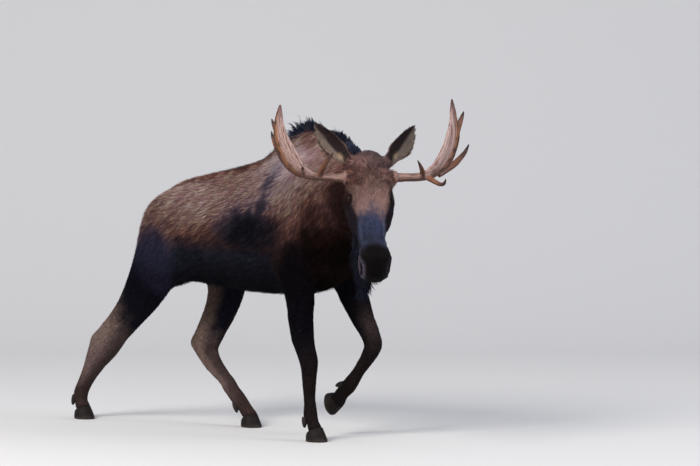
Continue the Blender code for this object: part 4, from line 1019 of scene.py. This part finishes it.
def leg_colours(body):
    """Near black fore legs with a paler knee; hind legs black above, with a painted blue sheen at their
    top, turning grey-tan from the back of the second thigh down; the inner side of the left hind leg
    pale from high up."""
    part = body.along(*LEGS)
    ripple = waves(body.place, 0.10, 4)
    behind = -body.normals[:, 0]
    inner = -np.sign(body.place[:, 1]) * body.normals[:, 1]
    left_fore = body.of("left_fore") / np.maximum(body.of(*FORE), 1e-6)
    left = body.of("left_hind") / np.maximum(body.of(*HIND), 1e-6)
    fore = layered((4.8, 3.6, 6), ((13, 8.5, 8.5), ease(part, 0.45, 0.75)),
                   ((46, 31, 29), 0.70 * left_fore * bump(part, 0.50, 0.11) * ease(behind, 0.3, -0.5)))
    lower = ease(part + 0.03 * ripple + 0.10 * behind, 0.33, 0.52)
    pale = ease(0.8 * inner + 0.45 * behind, 0.60, 1.0, part, 0.10, 0.28, part, 0.85, 0.70)
    hind = layered(
        (5.5, 5.5, 10.5),
        # painted blue sheen at the top of the hind legs
        ((30, 29, 55), ease(part, 0.22, 0.04)),
        ((125, 84, 76), lower),
        ((200, 140, 120), 0.7 * lower * bump(part, 0.58, 0.10) * ease(behind, -0.4, 0.5)),
        ((30, 20, 20), 0.82 * lower * ease(behind, 0.12, -0.50)),
        ((34, 21, 19), ease(part + 0.02 * ripple, 0.78, 0.93)),
        ((30, 19, 17), 0.75 * left * ease(behind, 0.55, 0.90) * bump(part, 0.42, 0.13)),
        ((35, 20, 18), 0.75 * left * ease(inner, 0.5, -0.1, part, 0.30, 0.45)),
        ((165, 112, 88), 0.8 * left * pale))
    return fore, hind


def head_colour(body):
    """Brown brow, a painted blue-grey sheen on the bridge of the nose, brighter towards the animal's left,
    with a painted highlight line along its edge and painted shade in two dips; dark sides and nose
    pad, near black front of the muzzle with painted shade under it, grey lips with a painted
    highlight, and a painted highlight on the upper lids."""
    along, side, above = body.head.T
    fine, speck = waves(body.points, 0.045, 5), waves(body.points, 0.018, 6)
    wide = np.abs(side)
    bridge = ease(along + 0.024 * fine + 0.014 * speck - 0.45 * wide - 0.25 * side, 0.222, 0.385)
    # Painted blue-grey sheen of sky light on the bridge of the nose, brighter towards the animal's left.
    blue = layered((31, 37, 71), ((24, 27, 47), ease(along + 0.02 * fine, 0.42, 0.50)))
    blue = blue * (0.80 + 0.35 * ease(side, -0.055, 0.050) + 0.20 * speck)[:, None]
    # Painted shade in two dips of the nose.
    dip_shade = (0.6 * bump(along, 0.485, 0.020, side, place, 0.009) for place in (-0.015, 0.046))
    # Painted highlight line along the edge of the nose's bridge, stronger on the animal's left.
    rim = bump(wide, 0.061, 0.006) * ease(along, 0.34, 0.40, along, 0.55, 0.48)
    top = layered(
        (292, 175, 150),
        ((118, 83, 84), ease(along, 0.17, 0.06)),
        ((45, 30, 32), 0.70 * ease(along, 0.22, 0.15, fine + 0.8 * speck, 0.0, 1.1)),
        ((30, 20, 22), 0.8 * bump(along, 0.188, 0.013, side, -0.045, 0.020)),
        ((52, 34, 34), ease(wide, 0.080, 0.110, along, 0.14, 0.20)),
        (blue, bridge),
        ((10.5, 8, 10.5), ease(wide - 0.03 * ease(along, 0.36, 0.28), 0.060, 0.082, along, 0.25, 0.33)),
        ((105, 125, 190), rim * np.where(side > 0, 0.55, 0.20)),
        *(((15, 16, 26), mark) for mark in dip_shade),
        ((4.8, 3.2, 3.2), ease(along - 9.0 * wide ** 2 + 0.006 * fine + 0.004 * speck, 0.500, 0.560)))
    cheek = layered((11.5, 8.5, 12.5), ((60, 40, 36), ease(above, -0.20, -0.12, along, 0.26, 0.14)))
    flat = ease(above + 0.10 * ease(along, 0.30, 0.45), -0.105, -0.050)
    # Grey lips with a painted highlight, strongest on the animal's right.
    lips = ease(along, 0.525, 0.595, wide, 0.022, 0.050, above, -0.026, -0.062)
    head = layered(
        cheek,
        (top, flat),
        ((85, 55, 52), (1 - flat) * ease(along, 0.13, 0.03, above, -0.26, -0.15)),
        ((82, 67, 93), lips * np.where(side > 0, 0.25, 1) * (0.75 + 0.25 * speck)),
        # Near black front and underside of the muzzle: the dark muzzle with painted shade under it.
        ((2.6, 1.7, 1.9), ease(along, 0.600, 0.640, wide, 0.066, 0.046, above, -0.175, -0.150)))
    for eye in (LEFT, RIGHT):
        _, long, high = eye_axes(eye)
        local = body.points - EYES[eye]
        head = layered(
            head,
            # Painted highlight on the upper lid.
            ((85, 60, 62), 0.7 * bump(far(local, 0.030 * high), 0, 0.017)),
            ((34, 25, 28), 0.75 * bump(far(local, -0.034 * high - 0.010 * long), 0, 0.024)),
            ((7, 4.8, 5.5), ease(far(local, 0), 0.036, 0.026)),
            ((14, 12, 18), 0.8 * ease(far(local, 0.055 * long - 0.022 * high), 0.050, 0.025)))
    return head * (1 + 0.10 * fine)[:, None]


def ear_colour(body, side):
    """Brown-grey back, dark inside, a tan band along the outer rim, a thin pale line along the
    inner one and a pale patch by the root."""
    root, tip, mouth = ear_axes(side)
    reach = (body.points - root) @ tip / EAR_LENGTH
    inside = ease(body.normals @ mouth, -0.1, 0.3)
    outward = HEAD_LEFT * side
    outer = (body.points - root) @ unit(outward - tip * (outward @ tip))
    return layered(
        (105, 73, 64),
        ((19, 13, 14), inside),
        ((150, 114, 95), inside * ease(outer + 0.010 * reach, 0.008, 0.022)),
        ((200, 150, 118), 0.8 * ease(np.abs(body.normals @ mouth), 0.55, 0.25, reach, 0.15, 0.3)),
        ((330, 235, 155), 0.9 * inside * bump(reach, 0.22, 0.075, outer, 0.014, 0.011)))


def markings(body):
    """Colour of skin and coat, and how much lighter the tips of the hair are."""
    crest = crest_of(body)
    trunk, trunk_tips = trunk_colour(body)
    neck, neck_tips = neck_colour(body)
    fore, hind = leg_colours(body)
    parts = [(("trunk",), trunk), (("neck",), neck), (FORE, fore), (HIND, hind),
             (("head",), head_colour(body)), (("bell",), mm((9, 10, 17))), (("tail",), mm((24, 17, 18)))]
    parts += [(("ear_" + word,), ear_colour(body, side)) for word, side in SIDES.items()]
    colour = sum(body.of(*words)[:, None] * part for words, part in parts)
    colour = layered(colour, (MANE_BLACK_AND_SHEEN, 0.95 * ease(crest, 0.30, 0.90)))
    gain = body.of("trunk") * trunk_tips + body.of("neck") * neck_tips + 0.3 * body.of("head", "ear")
    gain += 0.4 * body.of(*HIND) * ease(body.along(*LEGS), 0.36, 0.52)
    return LIGHTEN * colour, gain * (1 - 0.8 * crest) + 0.15


def paint(obj, colours):
    """Store a colour for every point under the name hair."""
    layer = obj.data.color_attributes.new("hair", "FLOAT_COLOR", "POINT")
    flat = np.ones((len(colours), 4), np.float32)
    flat[:, :3] = np.clip(colours, 0.0005, 0.9)
    layer.data.foreach_set("color", flat.ravel())


def store_vector(obj, name, vectors):
    """Store a vector for every point."""
    layer = obj.data.attributes.new(name, "FLOAT_VECTOR", "POINT")
    layer.data.foreach_set("vector", np.asarray(vectors, np.float32).ravel())


# ---- the coat ----
# Measures along the mean lie of the sides' hair, drawn out five times, across it and sideways.
HAIR_COMB = np.array([(0.20 * -0.75, -0.66, 0.0), (0.0, 0.0, 0.5), (0.20 * -0.66, 0.75, 0.0)])
MANE_TALL = mm([(-500, 450), (-260, 720), (-120, 800), (0, 720), (100, 660), (220, 580), (340, 500)]).T
BAKE_PATCH = 0.003


def scatter(points, triangles, density, count, draw):
    """So many places on the chosen triangles, evenly by area times density: face and shares."""
    a, b, c = (points[triangles[:, i]] for i in range(3))
    area = np.linalg.norm(np.cross(b - a, c - a), axis=1) * density[triangles].mean(axis=1)
    passed = np.cumsum(area)
    wanted = (np.arange(count) + draw.random(count)) / count * passed[-1]
    face = np.minimum(np.searchsorted(passed, wanted), len(area) - 1)
    u, v = draw.random(count), draw.random(count)
    over = u + v > 1
    u[over], v[over] = 1 - u[over], 1 - v[over]
    return face, np.stack([1 - u - v, u, v], axis=1)


def tuft_faces(rings):
    """Triangles of one closed tuft: a cap, a tube of three-sided rings, and a tip."""
    turns = ((0, 1), (1, 2), (2, 0))
    faces = [(0, 2, 1)]
    for first in range(0, 3 * rings - 3, 3):
        for p, q in turns:
            faces += [(first + p, first + q, first + q + 3), (first + p, first + q + 3, first + p + 3)]
    last = 3 * (rings - 1)
    return np.array(faces + [(last + p, last + q, last + 3) for p, q in turns])


def grow(name, triangles, density, count, rings, seed, size=None, stand=0.0, hang=None):
    """Join so many tufts over the chosen triangles. A tuft is a three-sided tube along a curve that
    leaves the skin, lies over along the hair and may curl sideways; it tapers to its tip. Size is a
    length and half width, stand the share of the length that goes straight up from the skin, hang a
    direction in place of the lie of the hair."""
    draw = np.random.default_rng(seed)
    face, share = scatter(skin_points, triangles, density, count, draw)
    corner = triangles[face]
    root = (skin_points[corner] * share[:, :, None]).sum(axis=1)
    normal = unit((skin_normals[corner] * share[:, :, None]).sum(axis=1))
    body = Body(root, normal)
    flow = lie_of(body)
    if name == "mane":
        normal = unit(0.5 * normal + UP)
        flow = unit(flow - (flow * normal).sum(axis=1, keepdims=True) * normal)
    if hang is not None:
        flow = unit(hang - (normal @ hang)[:, None] * normal)
    turn = (draw.normal(0, 0.16, count) + 0.22 * waves(root, 0.07, seed + 5))[:, None]
    flow = unit(flow * np.cos(turn) + np.cross(normal, flow) * np.sin(turn))
    across = np.cross(normal, flow)
    long, half = size or (hair_length(body), hair_width(body))
    length = long * draw.uniform(0.75, 1.2, count)
    if name == "mane":
        length = length * np.interp(body.place[:, 0], *MANE_TALL) * (0.35 + 0.65 * crest_of(body))
        length *= draw.uniform(0.6, 1.2, count) * np.exp(0.38 * waves(root, 0.017, 9))
    width = (half * draw.uniform(0.7, 1.25, count))[:, None, None]
    height = coat_depth(body) * draw.uniform(0.35, 1.0, count) * (stand == 0) + stand * length
    curl = length * draw.normal(0, 0.08, count)
    steps = np.append(np.arange(rings) / rings * 1.05, 1.0)
    rise = 1 - (1 - steps) ** 2.2
    middle = root[:, None] + flow[:, None] * ((1 - 0.6 * stand) * length[:, None] * steps)[:, :, None]
    middle += normal[:, None] * (height[:, None] * rise - 0.0012)[:, :, None]
    middle += across[:, None] * (curl[:, None] * steps ** 2)[:, :, None]
    taper = (1 - 0.75 * steps[:rings] ** 2)[None, :, None]
    side = across[:, None] * (width * taper)
    ridge = normal[:, None] * (0.65 * width * taper)
    line = middle[:, :rings]
    tube = np.stack([line - side, line + side, line + ridge], axis=2)
    points = np.concatenate([tube.reshape(count, -1, 3), middle[:, -1:]], axis=1)
    faces = tuft_faces(rings)
    step = 3 * rings + 1
    all_faces = (faces[None] + (np.arange(count) * step)[:, None, None]).reshape(-1, 3)
    obj = mesh_object(name, points.reshape(-1, 3), all_faces)

    colour, gain = markings(body)
    if name == "mane":
        ripple = waves(root, 0.12, 7) + waves(root, 0.012, 8)
        colour = MANE_BLACK_AND_SHEEN * np.exp(0.1 + 0.45 * ripple)[:, None]
    body_share = np.clip(body.of("trunk", "neck"), 0, 1)
    clump = waves(body.place @ HAIR_COMB, 0.013, 50)
    shade = draw.lognormal(-0.04, 0.30, count) * np.exp(0.34 * clump * body_share)
    light = (draw.random(count) < 0.20 + 0.15 * clump * body_share)[:, None]
    tips = gain[:, None] * np.where(light, 1.9, 0.10)
    # Painted light and shade: light tufts tinted warmer as if lit, the others bluer as if in shade under
    # the sky.
    lit_shade_tint = (body_share * np.clip(gain, 0, 1))[:, None]
    colour = colour * (1 + lit_shade_tint * np.where(light, (0.05, 0.02, -0.26), (-0.01, 0.0, 0.13)))
    level = np.append(np.repeat(steps[:rings], 3), 1.0)
    tone = (0.45 + 0.55 * ease(level, 0.0, 0.55)) * (1 + tips * ease(level, 0.25, 0.9)) * shade[:, None]
    paint(obj, (colour[:, None] * tone[:, :, None]).reshape(-1, 3))
    add_bake_map(obj, unwrap(body), faces, step)
    return obj


def unwrap(body):
    """Place of each root on a flat map of the skin: a strip for each region, its length along the
    strip and the angle round its line across it."""
    present = np.unique(body.region)
    strip = np.searchsorted(present, body.region)
    rows = np.arange(len(body.region))
    share, way, out = (field[body.region, rows] for field in (body.share, body.way, body.out))
    start = unit(np.cross(way, np.array((0.31, 0.93, 0.20))))
    angle = np.arctan2((out * np.cross(way, start)).sum(axis=1), (out * start).sum(axis=1))
    u = (strip + 0.03 + 0.94 * share) / len(present)
    return np.stack([u, 0.5 + 0.97 * angle / (2 * math.pi)], axis=1)


def add_bake_map(obj, places, faces, size):
    """Map named OFBake: each tuft is a small patch at its root's place, its length along one side."""
    level = np.linspace(-0.5, 0.5, size)
    local = np.stack([level, np.tile((-0.5, 0.5, 0.0), size // 3 + 1)[:size]], axis=1) * BAKE_PATCH
    spots = places[:, None] * (1 - 2 * BAKE_PATCH) + BAKE_PATCH + local[faces.ravel()][None]
    layer = obj.data.uv_layers.new(name="OFBake")
    layer.data.foreach_set("uv", spots.astype(np.float32).ravel())


def dress(obj, material):
    """Material, finish slot and body of a finished piece."""
    obj.data.materials.clear()
    obj.data.materials.append(material)
    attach(obj, "root")


def covered(body):
    """1 where hair grows; 0 over the eyes' openings and the line of the mouth."""
    cover = np.ones(len(body.points))
    for side, eye in EYES.items():
        _, long, high = eye_axes(side)
        local = body.points - eye
        ring = np.hypot(local @ long / LID_LONG, local @ high / LID_HIGH)
        cover *= np.maximum(ease(ring, 1.15, 1.50), far(local, 0) > 0.06)
    along, _, above = body.head.T
    return cover * np.maximum(ease(np.abs(above + 0.163), 0.006, 0.012), along < 0.50)


# ---- the pieces ----
raw_skin = fused_skin()
skin_points, skin_triangles, hollow = sculpt_head(*let_in(raw_skin))
bpy.data.objects.remove(raw_skin, do_unlink=True)
skin = mesh_object("skin", skin_points, skin_triangles)
skin_normals = normals_of(skin_points, skin_triangles)
skin_body = Body(skin_points, skin_normals)
along_face, _, above_face = skin_body.head.T
nose = ease(along_face, 0.52, 0.58) * (above_face > -0.25) * skin_body.of("head")
# Skin colour from the markings, a little darker except on the nose, and darkened almost to black inside the
# nostrils as painted shade.
paint(skin, (0.8 - 0.2 * nose)[:, None] * markings(skin_body)[0] * (1 - 0.92 * hollow)[:, None])
store_vector(skin, "bare", np.repeat(nose[:, None], 3, axis=1))
dress(skin, fur_material("skin under the coat", 0.0012))
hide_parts(*FLESH)

bone = antler_material()
horn = horn_material()
wet, _, _ = new_material("wet eye", Roughness=0.15, Specular_IOR_Level=0.06, Coat_Weight=0.11,
                         Coat_Roughness=0.03)
for word, side in SIDES.items():
    piece = antler(word)
    dress(piece, bone)
    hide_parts(*[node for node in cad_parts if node.startswith("antler_" + word)])
    look = eye_axes(side)[0]
    out = (skin_points - EYES[side]) @ look
    near_eye = far(skin_points - EYES[side], out[:, None] * look)
    rim = (near_eye < 0.030) & (near_eye > 0.016) & (np.abs(out) < 0.05)
    piece = eyeball(word, EYES[side] + look * np.percentile(out[rim], 60))
    dress(piece, wet)
    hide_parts("eye_" + word)
for name in FEET:
    for piece, kind in ((hoof(name), "hoof"), (dewclaws(name), "dewclaw")):
        dress(piece, horn)
        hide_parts("%s_%s_outer" % (kind, name), "%s_%s_inner" % (kind, name))

coat_fur = fur_material("coat hair")
first_corner = skin_triangles[:, 0]
on_left = skin_points[first_corner, 1] > STRIDE[1]
density = covered(skin_body) * ease(hollow, 0.30, 0.05) + 1e-9
chin = ease(along_face, 0.50, 0.56, above_face, -0.150, -0.175) + 1e-9
# Name, regions, side where only one is meant, tufts, rings of a tuft, slot.
PIECES = [
    ("coat_trunk_left", ("trunk",), on_left, 49900, 1, "coat"),
    ("coat_trunk_right", ("trunk",), ~on_left, 49900, 1, "coat"),
    ("coat_neck", ("neck",), True, 49000, 1, "coat"),
    ("coat_head", ("head",), True, 36000, 1, "face"),
    ("coat_ears", ("ear",), True, 14000, 1, "ear"),
    ("coat_fore", FORE, True, 30000, 1, "dark_leg"),
    ("coat_hind", HIND, True, 40000, 1, "leg"),
    ("bell_hair", ("bell", "tail"), True, 4500, 3, "mane"),
]


def of_regions(*words):
    """The skin's triangles in the regions whose names start so."""
    return np.isin(skin_body.region[first_corner], numbers_of(words))


for seed, (name, words, half, count, rings, slot) in enumerate(PIECES, 20):
    chosen = skin_triangles[of_regions(*words) & half]
    dress(grow(name, chosen, density, count, rings, seed), coat_fur)
mane = grow("mane", skin_triangles[of_regions("trunk", "neck", "head")], crest_of(skin_body) ** 2 + 1e-9,
            5200, 2, 40, size=(0.070, 0.0024), stand=0.80)
dress(mane, coat_fur)
whiskers = grow("whiskers", skin_triangles[of_regions("head")], chin, 420, 3, 41, size=(0.030, 0.0006),
                stand=0.65, hang=-UP)
dress(whiskers, coat_fur)


# ---- floor, light and camera ----
CAMERA_YAW = math.radians(42.0)          # from the animal's side towards its front
CAMERA_DISTANCE = 20.0   # from the planted right fore hoof
VIEW_WIDTH = 700         # and in the same measure:
FOCAL = 3680
HORIZON_UP = 208         # from the middle of the view up to the horizon
HOOF_DOWN = 208          # from the middle down to the planted hoof
HOOF_ASIDE = -39         # and to the right
SENSOR = 36.0
WALL_START = 5.0         # behind the animal's middle
WALL_ROUND = 5.0         # radius of the turn from floor to wall
WALL_HEIGHT = 14.0
ACROSS = np.array((math.cos(CAMERA_YAW), math.sin(CAMERA_YAW), 0.0))
BACK = np.array((-math.sin(CAMERA_YAW), math.cos(CAMERA_YAW), 0.0))


def make_camera():
    """Camera at the height of the animal's back, looking a little down."""
    pitch = math.atan(HORIZON_UP / FOCAL)
    ahead = BACK * math.cos(pitch) - UP * math.sin(pitch)
    above = np.cross(ACROSS, ahead)
    ray = ahead + ACROSS * (HOOF_ASIDE / FOCAL) - above * (HOOF_DOWN / FOCAL)
    data = bpy.data.cameras.new("camera")
    data.sensor_width = SENSOR
    data.lens = FOCAL / VIEW_WIDTH * SENSOR
    data.clip_end = 200
    camera = linked("camera", data)
    turned = Matrix((tuple(ACROSS), tuple(above), tuple(-ahead))).transposed()
    place = STRIDE + np.array((0.0, -0.14, 0.0)) - ray * CAMERA_DISTANCE
    camera.matrix_world = Matrix.Translation(place) @ turned.to_4x4()
    bpy.context.scene.camera = camera


def add_light(name, place, size, power, colour):
    """Soft square light at the place, turned to the animal's middle."""
    data = bpy.data.lights.new(name, "AREA")
    data.size = size
    data.energy = power
    data.color = colour
    way = Vector((0, 0, 1.0)) - Vector(place)
    linked(name, data).matrix_world = (
        Matrix.Translation(place) @ way.to_track_quat("-Z", "Y").to_matrix().to_4x4())


def backdrop():
    """Floor that turns up into a wall behind the animal: a grid of distance along the profile by
    distance across it. The profile is level, then a quarter circle, then upright."""
    turn = np.linspace(0, math.pi / 2, 33)
    away = np.concatenate([[-45.0], WALL_START + WALL_ROUND * np.sin(turn), [WALL_START + WALL_ROUND]])
    rise = np.concatenate([[0.0], WALL_ROUND * (1 - np.cos(turn)), [WALL_HEIGHT]])
    ends = np.array((-40.0, 40.0))
    profile = away[:, None] * BACK + rise[:, None] * UP
    grid = (profile[:, None] + ends[:, None] * ACROSS).reshape(-1, 3)
    row = np.arange(len(away) - 1) * 2
    return mesh_object("floor", grid, np.stack([row, row + 1, row + 3, row + 2], axis=1))


def make_stage():
    """Pale sweep of floor and wall under even light, with a soft light from the camera's side. The
    sweep shows only from its front, so that the animal is seen from behind the wall too."""
    floor = backdrop()
    material = bpy.data.materials.new("pale floor")
    material.use_nodes = True
    tree = material.node_tree
    shader = tree.nodes["Principled BSDF"]
    wire(tree, shader, Base_Color=(0.62, 0.61, 0.60, 1), Roughness=0.9, Specular_IOR_Level=0.1)
    side = add_node(tree, "NewGeometry").outputs["Backfacing"]
    clear = add_node(tree, "BsdfTransparent").outputs["BSDF"]
    either = add_node(tree, "MixShader")
    for socket, value in zip(either.inputs, (side, shader.outputs["BSDF"], clear)):
        tree.links.new(value, socket)
    wire(tree, tree.nodes["Material Output"], Surface=either.outputs["Shader"])
    floor.data.materials.append(material)
    world = bpy.data.worlds.new("studio")
    world.use_nodes = True
    wire(world.node_tree, world.node_tree.nodes["Background"], Color=(0.86, 0.90, 1.0, 1), Strength=0.80)
    bpy.context.scene.world = world
    bpy.context.scene.view_settings.view_transform = "Standard"
    add_light("key", (0.5, -8.0, 7.0), 4.0, 900, (1.0, 0.96, 0.90))
    add_light("fill", (8.0, 3.0, 5.0), 4.0, 300, (0.92, 0.95, 1.0))


make_camera()
make_stage()
